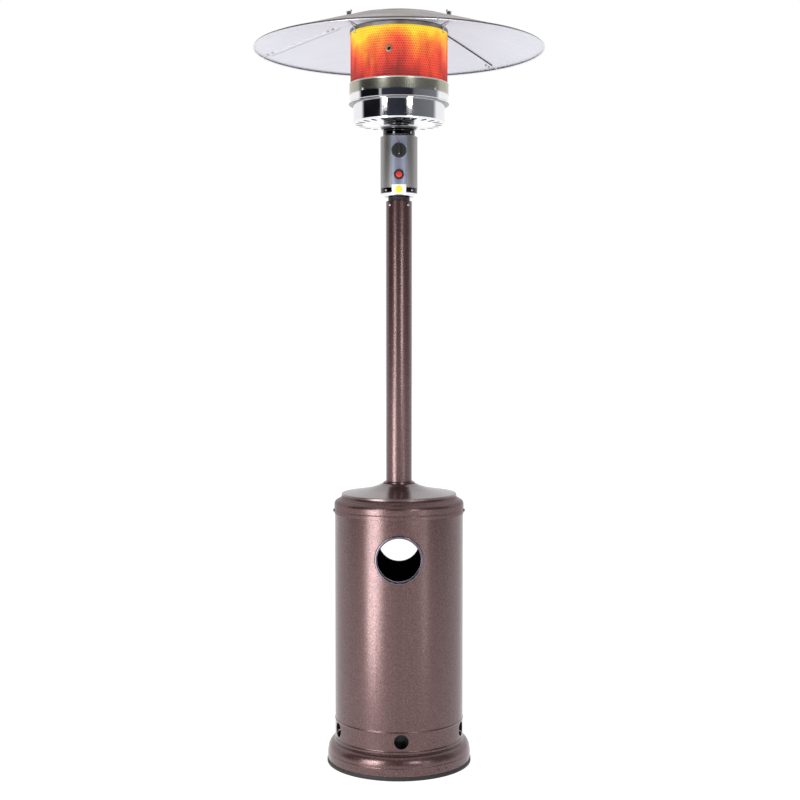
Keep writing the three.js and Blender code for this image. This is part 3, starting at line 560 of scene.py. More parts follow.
def swept(path, radius_at, sides=14):
    """A round bar along a path of points; radius_at gives its radius at each point's index."""
    verts, faces = [], []
    count = len(path)
    for i, point in enumerate(path):
        along = (Vector(path[min(i + 1, count - 1)]) - Vector(path[max(i - 1, 0)])).normalized()
        side = along.orthogonal().normalized() if i == 0 else (side - along * side.dot(along)).normalized()
        up = along.cross(side)
        for k in range(sides):
            turn = TAU * k / sides
            verts.append(Vector(point) + (side * math.cos(turn) + up * math.sin(turn)) * radius_at(i))
    for i in range(count - 1):
        for k in range(sides):
            a, b = i * sides + k, i * sides + (k + 1) % sides
            faces.append((a, b, b + sides, a + sides))
    faces.append(tuple(reversed(range(sides))))
    faces.append(tuple((count - 1) * sides + k for k in range(sides)))
    return verts, faces


def smooth_path(points, steps):
    """Catmull-Rom through points, with steps samples between each pair."""
    ends = [Vector(points[0]) * 2 - Vector(points[1])]
    ends += [Vector(p) for p in points]
    ends.append(Vector(points[-1]) * 2 - Vector(points[-2]))
    path = []
    for i in range(1, len(ends) - 2):
        a, b, c, d = ends[i - 1 : i + 3]
        for step in range(steps):
            t = step / steps
            path.append(0.5 * (2 * b + (c - a) * t + (2 * a - 5 * b + 4 * c - d) * t * t
                               + (3 * b - a - 3 * c + d) * t ** 3))
    path.append(Vector(points[-1]))
    return path


# ---------- fasteners
def pan_screw(name, azimuth, radius, height, body, size=3.6 * MM, material=ZINC):
    """A domed screw head with a cross recess, on a face that looks away from the pole."""
    dome = [(0.0, 0.0), (size, 0.0), (size, 0.18 * size), (0.86 * size, 0.42 * size),
            (0.55 * size, 0.6 * size), (0.0, 0.68 * size)]
    verts, faces = ring_mesh(rounded(dome, 0.1 * size, 3), SMALL)
    made = piece(name, moved(verts, facing(azimuth, radius, height)), faces, material, body)
    bars = []
    for length, width in ((0.95 * size, 0.2 * size), (0.2 * size, 0.95 * size)):
        corners = [(sx * length / 2, sy * width / 2, z) for z in (0.36 * size, size)
                   for sx, sy in ((-1, -1), (1, -1), (1, 1), (-1, 1))]
        sides = [(0, 1, 5, 4), (1, 2, 6, 5), (2, 3, 7, 6), (3, 0, 4, 7), (3, 2, 1, 0), (4, 5, 6, 7)]
        bars.append((corners, sides))
    for bar, sides in bars:
        carve(made, moved(bar, facing(azimuth, radius, height)), sides)
    return made


# ---------- base
def build_base():
    reach = BASE_R - SHELL_R - 4 * MM
    band_top = 34 * MM
    line = [(BASE_R, BASE_FOOT), (BASE_R, band_top), (BASE_R - 0.9 * MM, band_top + 1.2 * MM)]
    for step in range(1, 13):
        turn = math.pi / 2 * step / 12
        line.append((BASE_R - reach - 0.9 * MM + reach * math.cos(turn),
                     band_top + 1.2 * MM + (BASE_SEAT - 5.2 * MM - band_top) * math.sin(turn)))
    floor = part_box("support_leg_1")[0].z - 0.4 * MM
    line += [(SHELL_R + 1 * MM, BASE_SEAT), (SHELL_R - 8 * MM, BASE_SEAT), (SHELL_R - 12 * MM, floor),
             (60 * MM, floor), (56 * MM, floor - 6 * MM), (30 * MM, floor - 6 * MM)]
    pan = turned("base_pan_pressed", pressed(line), BRONZE, STAND, ["base_pan"], FINE, 0.8 * MM)
    turns = [math.radians(degrees) for degrees in KIT_HOLE_DEGREES]
    holes = [outward_disc(KIT_HOLE_R, 30 * MM, turn, BASE_R - 15 * MM, KIT_HOLE_Z) for turn in turns]
    carve(pan, *merged(holes))
    # painted shade: dark discs just behind the kit holes stand for the shade inside the base
    plug_r = KIT_HOLE_R - 0.05 * MM
    shade_discs = [outward_disc(plug_r, 0.6 * MM, turn, BASE_R - 1.1 * MM, KIT_HOLE_Z) for turn in turns]
    piece("kit_hole_painted_shade", *merged(shade_discs), DARK, STAND)
    trim = [(BASE_R - 5 * MM, TRIM_FOOT), (TRIM_R, TRIM_FOOT), (TRIM_R, TRIM_TOP - 3 * MM),
            (TRIM_R - 1 * MM, TRIM_TOP), (BASE_R + 0.2 * MM, TRIM_TOP),
            (BASE_R + 0.2 * MM, TRIM_TOP - 3 * MM), (BASE_R - 5 * MM, TRIM_TOP - 3 * MM)]
    turned("base_trim_ring", trim, RUBBER, STAND, ["base_edge_trim"], FINE, 0.9 * MM)


# ---------- housing
def build_shell():
    bead = SHELL_FOOT + 61 * MM
    line = [(SHELL_FOOT_R, SHELL_FOOT), (SHELL_FOOT_R, SHELL_FOOT + 5 * MM),
            (SHELL_R + 0.6 * MM, SHELL_FOOT + 7.5 * MM), (SHELL_R, SHELL_FOOT + 9 * MM)]
    for step in range(-4, 5):
        swell = 0.5 * (1 + math.cos(math.pi * step / 4))
        line.append((SHELL_R + 1.5 * MM * swell, bead + step * MM))
    line.append((SHELL_R, SHELL_TOP))
    shell = turned("housing_cylinder", pressed(line), BRONZE, HOUSING, ["housing_shell"], FINE, 0.4 * MM)
    hand_r = HAND_TRIM_R - 5 * MM
    verts, faces = solid_disc(hand_r, -SHELL_R - 20 * MM, SHELL_R + 20 * MM, MEDIUM)
    through = Matrix.Translation((0, 0, HAND_Z)) @ Matrix.Rotation(math.pi / 2, 4, "X")
    cutters = [(moved(verts, through), faces)]
    for i in range(VENT_COUNT):
        azimuth = math.radians(2) + TAU * i / VENT_COUNT
        cutters.append(outward_disc(VENT_R, 30 * MM, azimuth, SHELL_R - 15 * MM, SHELL_FOOT + VENT_RISE, 48))
    carve(shell, *merged(cutters))


def hole_trim(name, turn, node):
    """A rolled ring that lies on the housing's curve round a hand hole."""
    outer = HAND_TRIM_R
    section = rounded([
        (outer, 0.4 * MM),
        (outer - 1.2 * MM, 3.0 * MM),
        (outer - 4 * MM, 3.7 * MM),
        (outer - 7.6 * MM, 2.8 * MM),
        (outer - 9 * MM, 0.6 * MM),
        (outer - 9 * MM, -8 * MM),
        (outer - 7.4 * MM, -8 * MM),
        (outer - 7 * MM, 0.4 * MM),
    ], 1.2 * MM, 3)
    verts, faces = [], []
    count = len(section)
    for i in range(MEDIUM):
        angle = TAU * i / MEDIUM
        for r, lift in section:
            x = r * math.cos(angle)
            y = -math.sqrt((SHELL_R + lift) ** 2 - x * x)
            verts.append((x, y, HAND_Z + r * math.sin(angle)))
        for k in range(count):
            a, b = i * count + k, i * count + (k + 1) % count
            c, d = ((i + 1) % MEDIUM) * count + k, ((i + 1) % MEDIUM) * count + (k + 1) % count
            faces.append((a, c, d, b))
    piece(name, moved(verts, Matrix.Rotation(turn, 4, "Z")), faces, HOLE_TRIM, HOUSING, [node])


def build_lid():
    line = [
        (LID_R, LID_FOOT),
        (LID_R, LID_FOOT + 10.6 * MM),
        (LID_R - 0.9 * MM, LID_FOOT + 11.4 * MM),
        (LID_R - 0.9 * MM, LID_FOOT + 12.6 * MM),
        (LID_R, LID_FOOT + 13.4 * MM),
        (LID_R, SHELL_TOP + 1 * MM),
        (LID_R - 1.4 * MM, SHELL_TOP + 6 * MM),
        (LID_R - 5 * MM, SHELL_TOP + 10 * MM),
        (LIP_R + 7 * MM, SHELL_TOP + 15 * MM),
        (LIP_R + 2 * MM, SHELL_TOP + 19 * MM),
        (LIP_R, SHELL_TOP + 24 * MM),
        (LIP_R, LIP_Z),
        (LIP_R - 4 * MM, LIP_Z + 1.4 * MM),
        (148 * MM, LIP_Z + 4 * MM),
        (107 * MM, LIP_Z + 11 * MM),
        (83 * MM, LIP_Z + 16 * MM),
        (60 * MM, LIP_Z + 24 * MM),
        (51 * MM, LID_TOP - 1.2 * MM),
        (48 * MM, LID_TOP),
        (48 * MM, LID_TOP - 12 * MM),
    ]
    turned("housing_cover", pressed(line), LID_BRONZE, HOUSING, ["housing_lid", "lid_collar"], FINE,
           1.2 * MM)
    bush_r, foot, top = extent("lid_guide_bush")
    profile = [(POLE_R + 0.7 * MM, foot), (bush_r - 3.5 * MM, foot), (bush_r - 3.5 * MM, LID_TOP + 0.4 * MM),
               (bush_r, LID_TOP + 0.4 * MM), (bush_r - 1 * MM, top), (POLE_R + 0.7 * MM, top)]
    turned("lid_bush", profile, BRONZE, "lid_guide", ["lid_guide_bush"], MEDIUM, 0.6 * MM)


def build_housing():
    build_shell()
    hole_trim("hand_trim_front", 0.0, "front_hole_trim")
    hole_trim("hand_trim_rear", math.pi, "rear_hole_trim")
    build_lid()


# ---------- pole and cup
def build_pole():
    bore = POLE_R - 1.5 * MM
    profile = [(bore, POLE_FOOT), (POLE_R, POLE_FOOT), (POLE_R, POLE_TOP), (bore, POLE_TOP)]
    turned("pole_tube", profile, BRONZE, STAND, ["pole"], MEDIUM, 0.5 * MM)
    plug = bore - 0.4 * MM
    neck = 31.5 * MM
    line = [(plug, SOCKET_FOOT), (plug, POLE_TOP - 2 * MM), (neck + 1 * MM, POLE_TOP),
            (neck, POLE_TOP + 2 * MM), (neck, SOCKET_TOP)]
    # painted shade: near black for the shade under the cup, over the socket's own dark finish
    turned("socket_neck", pressed(line, 2 * MM), DARK, STAND, ["head_socket"], MEDIUM, 0.8 * MM)
    cup = [(neck - 6 * MM, CUP_FOOT), (neck + 8 * MM, CUP_FOOT)]
    for step in range(1, 10):
        turn = math.pi / 2 * step / 9
        cup.append((neck + 8 * MM + (CUP_R - neck - 8.6 * MM) * math.sin(turn),
                    CUP_FOOT + 14 * MM * (1 - math.cos(turn))))
    cup.append((CUP_R, CUP_TOP))
    turned("chrome_cup", pressed(cup), CUP_CHROME, STAND, ["bottom_cup"], MEDIUM, 0.5 * MM)
    for i, azimuth in enumerate((-45, 45, 135, 225)):
        turn = math.radians(azimuth)
        pan_screw(f"pole_screw_{i + 1}", turn, POLE_R - 0.1 * MM, POLE_TOP - 12 * MM, STAND, 4 * MM)
        pan_screw(f"cup_screw_{i + 1}", turn, CUP_R - 0.7 * MM, CUP_TOP - 7 * MM, STAND, 3.4 * MM)


# ---------- controls
def control_holes(igniter_hole_r):
    """Cutters for the knob's stem and the igniter's barrel."""
    inside = CASE_R - 15 * MM
    stem = outward_disc(9 * MM, 30 * MM, 0, inside, KNOB_Z)
    barrel = outward_disc(igniter_hole_r, 30 * MM, 0, inside, BUTTON_Z)
    return merged([stem, barrel])


def build_case():
    wall = [(CASE_R - SHEET, CASE_FOOT), (CASE_R, CASE_FOOT), (CASE_R, CASE_TOP), (CASE_R - SHEET, CASE_TOP)]
    profile = rounded(wall, 0.4 * MM)
    slit = math.radians(0.35)
    halves = []
    for side, start in (("front", math.pi), ("rear", 0.0)):
        verts, faces = ring_mesh(profile, MEDIUM, start + slit, math.pi - 2 * slit)
        halves.append(piece(f"case_{side}", verts, faces, BRUSHED, STAND, [f"control_shell_{side}"]))
    carve(halves[0], *control_holes(12.5 * MM))
    inner = CASE_R + 0.4 * MM
    skin = rounded([(inner, CASE_FOOT + 3 * MM), (inner + 0.8 * MM, CASE_FOOT + 3 * MM),
                    (inner + 0.8 * MM, CASE_TOP - 3 * MM), (inner, CASE_TOP - 3 * MM)], 0.3 * MM)
    reach = math.asin(23.5 * MM / inner)
    verts, faces = ring_mesh(skin, SMALL, -math.pi / 2 - reach, 2 * reach)
    panel = piece("face_panel", verts, faces, PANEL, STAND, ["control_panel"])
    carve(panel, *control_holes(12.3 * MM))


def build_dial_marks():
    """Plain raised ticks round the knob, and one red mark above it."""
    face = CASE_R + 1.2 * MM
    marks = []
    for degrees in list(range(-150, -60, 15)) + list(range(60, 151, 15)):
        turn = math.radians(degrees)
        x = 24.3 * MM * math.sin(turn)
        z = 24.3 * MM * math.cos(turn)
        if abs(x) > 22 * MM:
            continue
        azimuth = math.asin(x / face)
        marks.append(outward_disc(0.9 * MM, 0.35 * MM, azimuth, face, KNOB_Z + z, 12))
    piece("dial_ticks", *merged(marks), CERAMIC, STAND)
    piece("dial_red_mark", *outward_disc(2 * MM, 0.4 * MM, 0, face, KNOB_Z + 26 * MM, 20), RED, STAND)


def build_knob():
    depth = -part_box("control_knob")[0].y - KNOB_BACK
    base = rounded([(4.2 * MM, 0), (KNOB_R, 0), (KNOB_R, 3.4 * MM), (KNOB_R - 1.6 * MM, 5 * MM),
                    (4.2 * MM, 5 * MM)], 0.8 * MM)
    skirt = ring_mesh(base, MEDIUM)
    ribs = 40
    drum_verts, drum_faces = [], []
    levels = [(5 * MM, 0), (12 * MM, 0), (13.2 * MM, 1.2 * MM)]
    for z, inset in levels:
        for i in range(ribs * 4):
            turn = TAU * i / (ribs * 4)
            ridge = 0.55 * MM * math.cos(ribs * turn)
            radius = KNOB_R - 2.6 * MM + ridge - inset
            drum_verts.append((radius * math.cos(turn), radius * math.sin(turn), z))
    around = ribs * 4
    for level in range(2):
        for i in range(around):
            a, b = level * around + i, level * around + (i + 1) % around
            drum_faces.append((a, b, b + around, a + around))
    drum_faces.append(tuple(reversed(range(around))))
    drum_faces.append(tuple(range(2 * around, 3 * around)))
    front = facing(0, KNOB_BACK, KNOB_Z)
    shapes = [(moved(skirt[0], front), skirt[1]), (moved(drum_verts, front), drum_faces)]
    verts, faces = merged(shapes)
    piece("knob_body", verts, faces, BLACK, "knob", ["control_knob"])
    half = 4.2 * MM
    grip = []
    for z, shrink in ((13 * MM, 0), (depth - 3 * MM, 0), (depth - 0.6 * MM, 0.8 * MM), (depth, 2.2 * MM)):
        for x, y in ((-1, -1), (1, -1), (1, 1), (-1, 1)):
            grip.append((x * (half - shrink), y * (KNOB_R - 5 * MM - shrink), z))
    sides = [(0, 3, 2, 1), (12, 13, 14, 15)]
    for level in range(3):
        sides += [(level * 4 + i, level * 4 + (i + 1) % 4, level * 4 + 4 + (i + 1) % 4, level * 4 + 4 + i)
                  for i in range(4)]
    bar = piece("knob_grip", moved(grip, front), sides, BLACK, "knob")
    bevel = bar.modifiers.new("ease", "BEVEL")
    bevel.width = 0.8 * MM
    bevel.segments = 3
    line_verts, line_faces = solid_disc(1.1 * MM, depth, depth + 0.25 * MM, 16)
    low = [(x, y - 12 * MM, z) for x, y, z in line_verts]
    piece("knob_pointer", moved(low, front), line_faces, CERAMIC, "knob")


def build_igniter():
    """The red button; its black barrel stays the CAD's."""
    front = facing(0, 0, BUTTON_Z)
    dome = rounded([(0.0, BUTTON_BACK), (BUTTON_R, BUTTON_BACK), (BUTTON_R, BUTTON_FRONT - 2.4 * MM),
                    (BUTTON_R - 2 * MM, BUTTON_FRONT - 0.6 * MM), (0.0, BUTTON_FRONT)], 1.1 * MM)
    verts, faces = ring_mesh(dome, 64)
    piece("igniter_cap", moved(verts, front), faces, RED, "igniter", ["igniter_button"])


def build_label():
    """A label wrapped over the panel's foot and the cup below it."""
    outline = ((2, 14.5), (2, 5.5), (0.7, -0.5), (-0.3, -6.5), (-3, -12.5), (-4.6, -14.1))
    skin = [(CASE_R + out * MM, LABEL_Z + up * MM) for out, up in outline]
    back = [(r - 0.3 * MM, z) for r, z in reversed(skin)]
    reach = math.asin(20.5 * MM / CASE_R)
    verts, faces = ring_mesh(skin + back, SMALL, -math.pi / 2 - reach, 2 * reach)
    piece("plain_label", verts, faces, LABEL, STAND)


def build_controls():
    build_case()
    build_dial_marks()
    build_knob()
    build_igniter()
    build_label()


# ---------- burner
def build_bowl():
    line = [(NECK_FOOT_R, NECK_FOOT), (NECK_R + 1.2 * MM, NECK_FOOT + 3 * MM),
            (NECK_R, NECK_FOOT + 6 * MM), (NECK_R, NECK_TOP - 4 * MM), (NECK_R - 2 * MM, NECK_TOP)]
    turned("neck_ring", pressed(line), NECK_CHROME, STAND, ["neck_collar"], MEDIUM, 1 * MM)
    cone = 20 * MM
    line = [(17 * MM, BOWL_FOOT), (50 * MM, BOWL_FOOT), (51.4 * MM, BOWL_FOOT + 3 * MM),
            (54 * MM, BOWL_FOOT + 6.6 * MM), (58.5 * MM, BOWL_FOOT + 9.8 * MM),
            (66 * MM, BOWL_FOOT + 12.2 * MM), (78 * MM, BOWL_FOOT + 13.8 * MM),
            (BOWL_R - 5 * MM, BOWL_FOOT + cone - 3 * MM),
            (BOWL_R - 1.2 * MM, BOWL_FOOT + cone - 1.4 * MM), (BOWL_R, BOWL_FOOT + cone + 2 * MM),
            (BOWL_R, BOWL_TOP - SHEET), (BOWL_FLANGE_R, BOWL_TOP - SHEET)]
    bowl = turned("bowl_pressed", pressed(line), BOWL_CHROME, STAND, ["burner_bowl"], FINE, 0.8 * MM)
    slots = []
    for i in range(SLOT_COUNT):
        outline, faces = solid_disc(1.0, 0, 26 * MM, 24)
        oval = [(x * 12 * MM, y * 6 * MM, z) for x, y, z in outline]
        place = Matrix.Rotation(TAU * (i + 0.5) / SLOT_COUNT, 4, "Z") @ Matrix.Translation(
            (BOWL_R - 17 * MM, 0, BOWL_FOOT + 3 * MM))
        slots.append((moved(oval, place), faces))
    carve(bowl, *merged(slots))
    # painted shade: a dark sheet above the slots stands for the shade inside the bowl
    shade = [(30 * MM, BOWL_FOOT + 20 * MM), (BOWL_R - 4 * MM, BOWL_FOOT + 27 * MM),
             (BOWL_R - 4 * MM, BOWL_FOOT + 28 * MM), (30 * MM, BOWL_FOOT + 21 * MM)]
    turned("bowl_shade_sheet", shade, DARK, STAND, (), MEDIUM, 0.2 * MM)


def build_ring():
    lip = RING_R
    wall_r = RING_R - 2 * MM
    line = [(BOWL_R + 0.4 * MM, RING_FOOT), (lip - 0.6 * MM, RING_FOOT), (lip, RING_FOOT + 1.2 * MM),
            (lip, RING_FOOT + 4.4 * MM), (wall_r, RING_FOOT + 6.6 * MM), (wall_r, RING_TOP - 4 * MM),
            (wall_r + 0.8 * MM, RING_TOP - 2.8 * MM), (wall_r + 0.6 * MM, RING_TOP - 0.6 * MM),
            (wall_r - 1 * MM, RING_TOP)]
    turned("burner_band", pressed(line), BAND_STEEL, STAND, ["burner_ring"], FINE, 0.7 * MM)
    for i, azimuth in enumerate((-46, 46, 134, 226)):
        turn = math.radians(azimuth)
        pan_screw(f"band_screw_{i + 1}", turn, wall_r - 0.1 * MM, RING_FOOT + 31 * MM, STAND, 4.2 * MM)
        pan_screw(f"neck_screw_{i + 1}", math.radians(15) + turn * 0.72, NECK_R - 0.1 * MM,
                  NECK_FOOT + 10 * MM, STAND, 3.6 * MM)


def perforated_sleeve(radius, z0, z1, columns, rows, keep):
    """One layer of sheet with a round hole in each cell, rows offset by half a cell."""
    verts, faces, lookup = [], [], {}

    def corner(i, k):
        key = (i % (2 * columns), k)
        if key not in lookup:
            lookup[key] = len(verts)
            turn = TAU * key[0] / (2 * columns)
            verts.append((radius * math.cos(turn), radius * math.sin(turn), z0 + (z1 - z0) * k / (2 * rows)))
        return lookup[key]

    cell_w = TAU * radius / columns
    cell_h = (z1 - z0) / rows
    ring = [(0, 0), (1, 0), (2, 0), (2, 1), (2, 2), (1, 2), (0, 2), (0, 1)]
    for row in range(rows):
        for column in range(columns):
            left = 2 * column + (row % 2)
            outer = [corner(left + i, 2 * row + k) for i, k in ring]
            middle_turn = TAU * (left + 1) / (2 * columns)
            middle_z = z0 + cell_h * (row + 0.5)
            if not keep(middle_turn, middle_z):
                continue
            hole = min(cell_w, cell_h) * 0.31
            inner = []
            for i in range(8):
                around = math.radians(225 + 45 * i)
                turn = middle_turn + hole * math.cos(around) / radius
                inner.append(len(verts))
                rise = hole * math.sin(around)
                verts.append((radius * math.cos(turn), radius * math.sin(turn), middle_z + rise))
            for i in range(8):
                j = (i + 1) % 8
                faces.append((outer[i], outer[j], inner[j], inner[i]))
    return verts, faces


PORT_AZIMUTH = -0.206  # the sighting port stands a little left of the front
PORT_Z = SCREEN_FOOT + 135 * MM


def build_emitter():
    port_turn = PORT_AZIMUTH - math.pi / 2

    def keep(turn, z):
        across = (turn - port_turn + math.pi) % TAU - math.pi
        return math.hypot(across * SCREEN_R, z - PORT_Z) > 8.5 * MM

    radius = SCREEN_R
    verts, faces = perforated_sleeve(radius, RING_TOP - 4 * MM, CAP_FOOT + 8 * MM, 128, 22, keep)
    screen = piece("emitter_mesh", verts, faces, GLOW, STAND, ["emitter_screen"])
    thick = screen.modifiers.new("gauge", "SOLIDIFY")
    thick.thickness, thick.offset = 1.0 * MM, -1
    liner = [(radius - 3.6 * MM, RING_TOP - 8 * MM), (radius - 3 * MM, RING_TOP - 8 * MM),
             (radius - 3 * MM, CAP_FOOT + 6 * MM), (radius - 3.6 * MM, CAP_FOOT + 6 * MM)]
    glow = turned("flame_glow", liner, EMBER, STAND, (), FINE, 0.1 * MM)
    sight, sides = solid_disc(8 * MM, -20 * MM, 10 * MM)
    carve(glow, moved(sight, facing(PORT_AZIMUTH, radius, PORT_Z)), sides)
    foot = [(radius - SHEET, SCREEN_FOOT), (radius, SCREEN_FOOT), (radius, RING_TOP - 4.4 * MM),
            (radius - SHEET, RING_TOP - 4.4 * MM)]
    turned("emitter_foot", foot, HEAT_STEEL, STAND, (), FINE, 0.3 * MM)
    port = rounded([(6.4 * MM, -1 * MM), (10.6 * MM, -1 * MM), (10.6 * MM, 0.8 * MM), (7.4 * MM, 1.6 * MM),
                    (6.4 * MM, 1.6 * MM)], 0.4 * MM)
    verts, faces = ring_mesh(port, SMALL)
    piece("sight_port", moved(verts, facing(PORT_AZIMUTH, radius, PORT_Z)), faces, HEAT_STEEL, STAND)
    # painted shade: a dark disc behind the sight port stands for the dark inside of the port
    verts, faces = solid_disc(7 * MM, -16 * MM, -14 * MM, SMALL)
    piece("sight_port_shade_disc", moved(verts, facing(PORT_AZIMUTH, radius, PORT_Z)), faces, DARK, STAND)
    line = [(CAP_R, CAP_FOOT)]
    for step in range(0, 9):
        turn = math.pi / 2 * step / 8
        inset = 9 * MM * (1 - math.cos(turn))
        line.append((CAP_R - inset, CAP_TOP - 12 * MM + 7 * MM * math.sin(turn)))
    line += [(60 * MM, CAP_TOP - 1.2 * MM), (0.0, CAP_TOP)]
    turned("emitter_lid", pressed(line), HEAT_STEEL, STAND, ["emitter_cap"], FINE, 0.3 * MM)


# ---------- reflector
DISH_LINE = [  # mm out from the rim's edge and up from 1 mm above its foot: rolled rim, then cone
    (-4.6, 1.0), (-3.4, -0.6), (-1.6, -1.0), (-0.4, -0.2), (0, 1.4), (-0.6, 3.2), (-2.4, 5.0), (-8, 7.2),
    (-26, 11.6), (-75, 27.2), (-125, 43), (-165, 55.4), (-205, 67.4), (-245, 78.8), (-285, 89),
]
SEAM_DEGREES = (44, 164, 284)


def dish_profile():
    level = DISH_FOOT + 1 * MM
    return [(DISH_R + r * MM, level + z * MM) for r, z in DISH_LINE]


def dish_height(radius):
    """Height of the reflector's upper face at a distance from the axis."""
    line = dish_profile()[7:]
    for (r0, z0), (r1, z1) in zip(line, line[1:]):
        if r1 <= radius <= r0:
            return z0 + (z1 - z0) * (r0 - radius) / (r0 - r1)
    return line[-1][1]


def darken_back(made):
    """Gives the faces that look up and out the finish of the reflector's upper face."""
    made.data.materials.append(DISH_BACK)
    for face in made.data.polygons:
        if face.normal.z > 0.1:
            face.material_index = 1


def build_dish():
    profile = pressed(dish_profile())
    gap = math.radians(0.19)
    for i, start in enumerate(SEAM_DEGREES):
        verts, faces = ring_mesh(profile, 80, math.radians(start) + gap, TAU / 3 - 2 * gap)
        made = piece(f"dish_panel_{i + 1}", verts, faces, DISH, STAND, [f"reflector_panel_{i + 1}"])
        darken_back(made)
    edge = CROWN_R
    line = [(edge, CROWN_FOOT + SHEET), (edge - 20 * MM, dish_height(edge - 20 * MM) + 1.9 * MM),
            (140 * MM, DISH_TOP + 1.8 * MM), (115 * MM, CROWN_TOP - 13 * MM),
            (90 * MM, CROWN_TOP - 7.4 * MM), (60 * MM, CROWN_TOP - 3.2 * MM),
            (30 * MM, CROWN_TOP - 0.8 * MM), (0.0, CROWN_TOP)]
    darken_back(turned("dish_crown", pressed(line), DISH, STAND, ["reflector_crown"], FINE, 0.8 * MM))


def lap_step(turn, inner, outer):
    """The step of a lapped joint, painted dark for the shade in it, and the flat strip that runs out from it
    along the underside.
    """
    out = Vector((math.cos(turn), math.sin(turn), 0))
    side = Vector((-math.sin(turn), math.cos(turn), 0))
    steps = 24
    shapes = []
    for outline in (((-6, 0), (-6, -2.6), (-5, -2.8), (-5, 0)), ((-5, 0), (-5, -2.4), (8, -0.5), (8, 0))):
        verts, faces = [], []
        for step in range(steps + 1):
            radius = inner + (outer - inner) * step / steps
            under = dish_height(radius) - SHEET - 0.15 * MM
            for across, drop in outline:
                verts.append(out * radius + side * across * MM + Vector((0, 0, under + drop * MM)))
        for step in range(steps):
            for k in range(4):
                a, b = step * 4 + k, step * 4 + (k + 1) % 4
                faces.append((a, b, b + 4, a + 4))
        faces += [(0, 1, 2, 3), tuple(steps * 4 + k for k in (3, 2, 1, 0))]
        shapes.append((verts, faces))
    return shapes


def build_seams():
    for i, degrees in enumerate(SEAM_DEGREES):
        turn = math.radians(degrees)
        out = Vector((math.cos(turn), math.sin(turn), 0))
        side = Vector((-math.sin(turn), math.cos(turn), 0))
        edge, strip = lap_step(turn, 185 * MM, DISH_R - 26 * MM)
        # painted shade: the lap's step face is near black
        piece(f"seam_shade_step_{i + 1}", *edge, DARK, STAND)
        piece(f"seam_strip_{i + 1}", *strip, DISH, STAND)
        bolts = []
        for radius in (DISH_R - 20 * MM, DISH_R - 34 * MM, 200 * MM, 216 * MM):
            under = dish_height(radius) - SHEET
            head = ring_mesh(rounded([(0.0, 0), (3.6 * MM, 0), (3.6 * MM, -2.4 * MM), (2.6 * MM, -3.6 * MM),
                                      (0.0, -4 * MM)], 0.6 * MM), 20)
            place = Matrix.Translation(out * radius + side * 14 * MM + Vector((0, 0, under)))
            bolts.append((moved(head[0], place), head[1]))
        piece(f"seam_bolts_{i + 1}", *merged(bolts), ZINC, STAND)


def build_studs():
    """Cranked threaded studs from the emitter's side up through the reflector."""
    for i in range(3):
        node = f"reflector_stud_{i + 1}"
        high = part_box(node)[1]
        turn = math.radians(90 + 120 * i)
        side = CAP_R + 3.4 * MM
        top = 165 * MM
        rises = ((-20, side), (-8, side), (0, side + 5 * MM), (9, top - 3 * MM), (15, top), (20, top))
        points = [(r, 0, CAP_TOP - 10 * MM + z * MM) for z, r in rises] + [(top, 0, high.z)]
        path = smooth_path(points, 22)
        verts, faces = swept(path, lambda k: (2.7 + 0.3 * math.cos(k * 1.9)) * MM)
        verts = moved(verts, Matrix.Rotation(turn, 4, "Z"))
        piece(f"threaded_stud_{i + 1}", verts, faces, ZINC, STAND, [node])


# ---------- hidden parts that stay as the CAD made them
CAD_FINISH = {
    ZINC: ["support_leg_1", "support_leg_2", "support_leg_3", "regulator", "gas_control_valve",
           "valve_bracket", "valve_thrust_washer", "wing_nut_1", "wing_nut_2", "wing_nut_3"],
    TANK_PAINT: ["gas_cylinder", "cylinder_collar"],
    BRASS: ["cylinder_valve", "injector", "valve_stem"],
    BLACK: ["valve_handwheel", "coupling_nut", "igniter_body", "tilt_switch",
            "lid_screw_1", "lid_screw_2"],
    RUBBER: ["gas_hose"],
    WEBBING: ["cylinder_strap"],
    HEAT_STEEL: ["mixing_tube", "burner_head", "pilot_shelf", "pilot_burner"],
    COPPER: ["thermocouple"],
    CERAMIC: ["spark_electrode"],
}


def finish_cad_nodes():
    for material, nodes in CAD_FINISH.items():
        for name in nodes:
            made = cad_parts[name]
            made.data.materials.clear()
            made.data.materials.append(material)
            crisp(made.data)


# ---------- studio
def area_light(name, place, aim, width, height, power, color=(1, 1, 1)):
    data = bpy.data.lights.new(name, "AREA")
    data.shape = "RECTANGLE"
    data.size, data.size_y = width, height
    data.energy = power
    data.color = color
    lamp = bpy.data.objects.new(name, data)
    lamp.location = place
    lamp.rotation_euler = (Vector(aim) - Vector(place)).to_track_quat("-Z", "Y").to_euler()
    bpy.context.scene.collection.objects.link(lamp)


ROOM = (  # bearing in degrees from the front, positive to the right, and what the metals see there
    (-108, (1.0, 1.0, 1.0)),
    (-98, (0.006, 0.006, 0.009)),
    (-48, (0.006, 0.006, 0.009)),
    (-46, (0.5, 0.5, 0.52)),
    (-42, (0.5, 0.5, 0.52)),
    (-40, (0.035, 0.037, 0.05)),
    (30, (0.022, 0.024, 0.034)),
    (36, (0.13, 0.135, 0.15)),
    (96, (0.2, 0.21, 0.225)),
    (108, (1.0, 1.0, 1.0)),
)


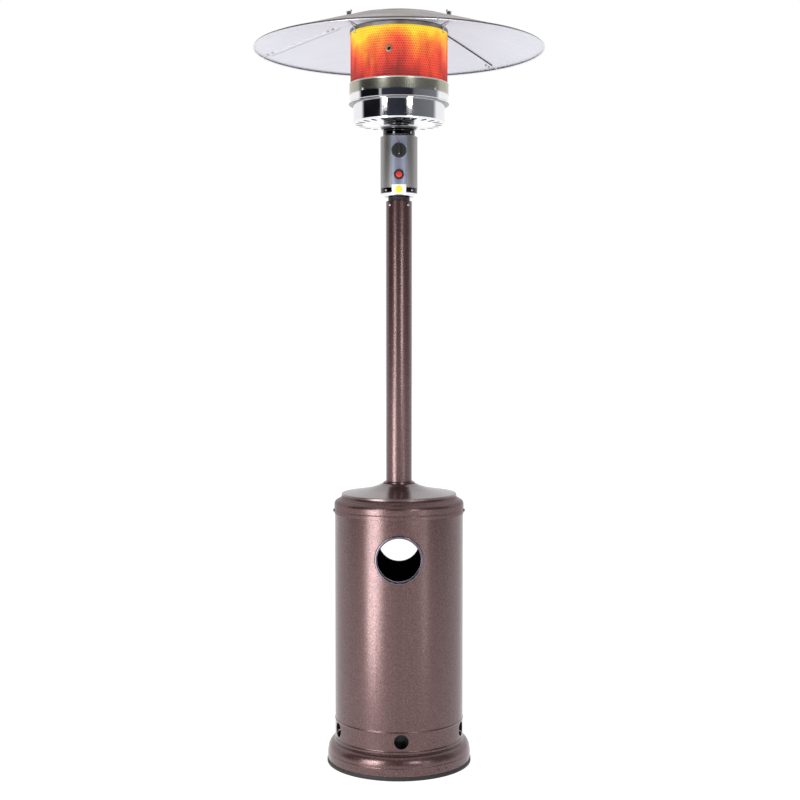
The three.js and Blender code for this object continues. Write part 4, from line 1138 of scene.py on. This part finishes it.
def build_world():
    """White round the object as the camera sees it, and a dark room in front for the metals to mirror."""
    world = bpy.data.worlds.new("studio")
    bpy.context.scene.world = world
    world.use_nodes = True
    sky = Tree(world.node_tree)
    split = sky.node("SeparateXYZ", {"Vector": sky.node("TexCoord", {}).outputs["Generated"]}).outputs
    bearing = sky.math("ARCTAN2", split["X"], sky.math("MULTIPLY", split["Y"], -1.0))
    turn = sky.spread(bearing, -math.pi, math.pi)
    room = sky.ramp(turn, *[((degrees + 180) / 360, color) for degrees, color in ROOM])
    lit = sky.mixed(sky.spread(split["Z"], 0.72, 0.9), room, (0.9, 0.9, 0.9))
    seen_by_camera = sky.node("LightPath", {}).outputs["Is Camera Ray"]
    sky.set(world.node_tree.nodes["Background"], "Color", sky.mixed(seen_by_camera, lit, (1, 1, 1)))


def build_floor():
    side = 30.0
    verts = [(-side, -side, 0), (side, -side, 0), (side, side, 0), (-side, side, 0)]
    mesh = bpy.data.meshes.new("floor")
    mesh.from_pydata(verts, [], [(0, 1, 2, 3)])
    paint = Paint("floor_white", (0.9, 0.9, 0.9), 0.8)
    paint.color(paint.mixed(paint.noise(2.0, 2), (0.4, 0.4, 0.4), (0.42, 0.42, 0.42)))
    paint.set(paint.shader, "Emission Color", (1, 1, 1, 1))
    paint.set(paint.shader, "Emission Strength", 0.8)
    mesh.materials.append(paint.material)
    floor = bpy.data.objects.new("floor", mesh)
    bpy.context.scene.collection.objects.link(floor)


def build_camera():
    data = bpy.data.cameras.new("view")
    data.sensor_width = 36
    data.lens = 62.4
    data.clip_end = 100
    camera = bpy.data.objects.new("view", data)
    camera.location = (0.003, -4.1, 1.271)
    camera.rotation_euler = (math.radians(90 - 2.724), 0, 0)
    bpy.context.scene.collection.objects.link(camera)
    bpy.context.scene.camera = camera


def strip_light(name, degrees, reach, foot, top, width, radiance):
    """An upright softbox that faces the pole from a bearing, with the brightness a mirror would see."""
    turn = math.radians(degrees)
    height = top - foot
    middle = (foot + top) / 2
    place = (reach * math.sin(turn), -reach * math.cos(turn), middle)
    area_light(name, place, (0, 0, middle), width, height, math.pi * width * height * radiance)


def build_studio():
    build_world()
    build_floor()
    build_camera()
    strip_light("left_strip", -35, 3.4, 0.9, 2.12, 0.7, 9)
    strip_light("right_strip", 26, 3.4, 0.9, 2.12, 0.7, 9)
    strip_light("left_low_strip", -43, 1.9, 0.02, 0.95, 0.75, 9)
    strip_light("right_low_strip", 44, 2.2, 0.02, 0.95, 0.4, 2)
    view = bpy.context.scene.view_settings
    view.view_transform = "Standard"
    view.look = "None"


build_base()
build_housing()
build_pole()
build_controls()
build_bowl()
build_ring()
build_emitter()
build_dish()
build_seams()
build_studs()
finish_cad_nodes()
build_studio()
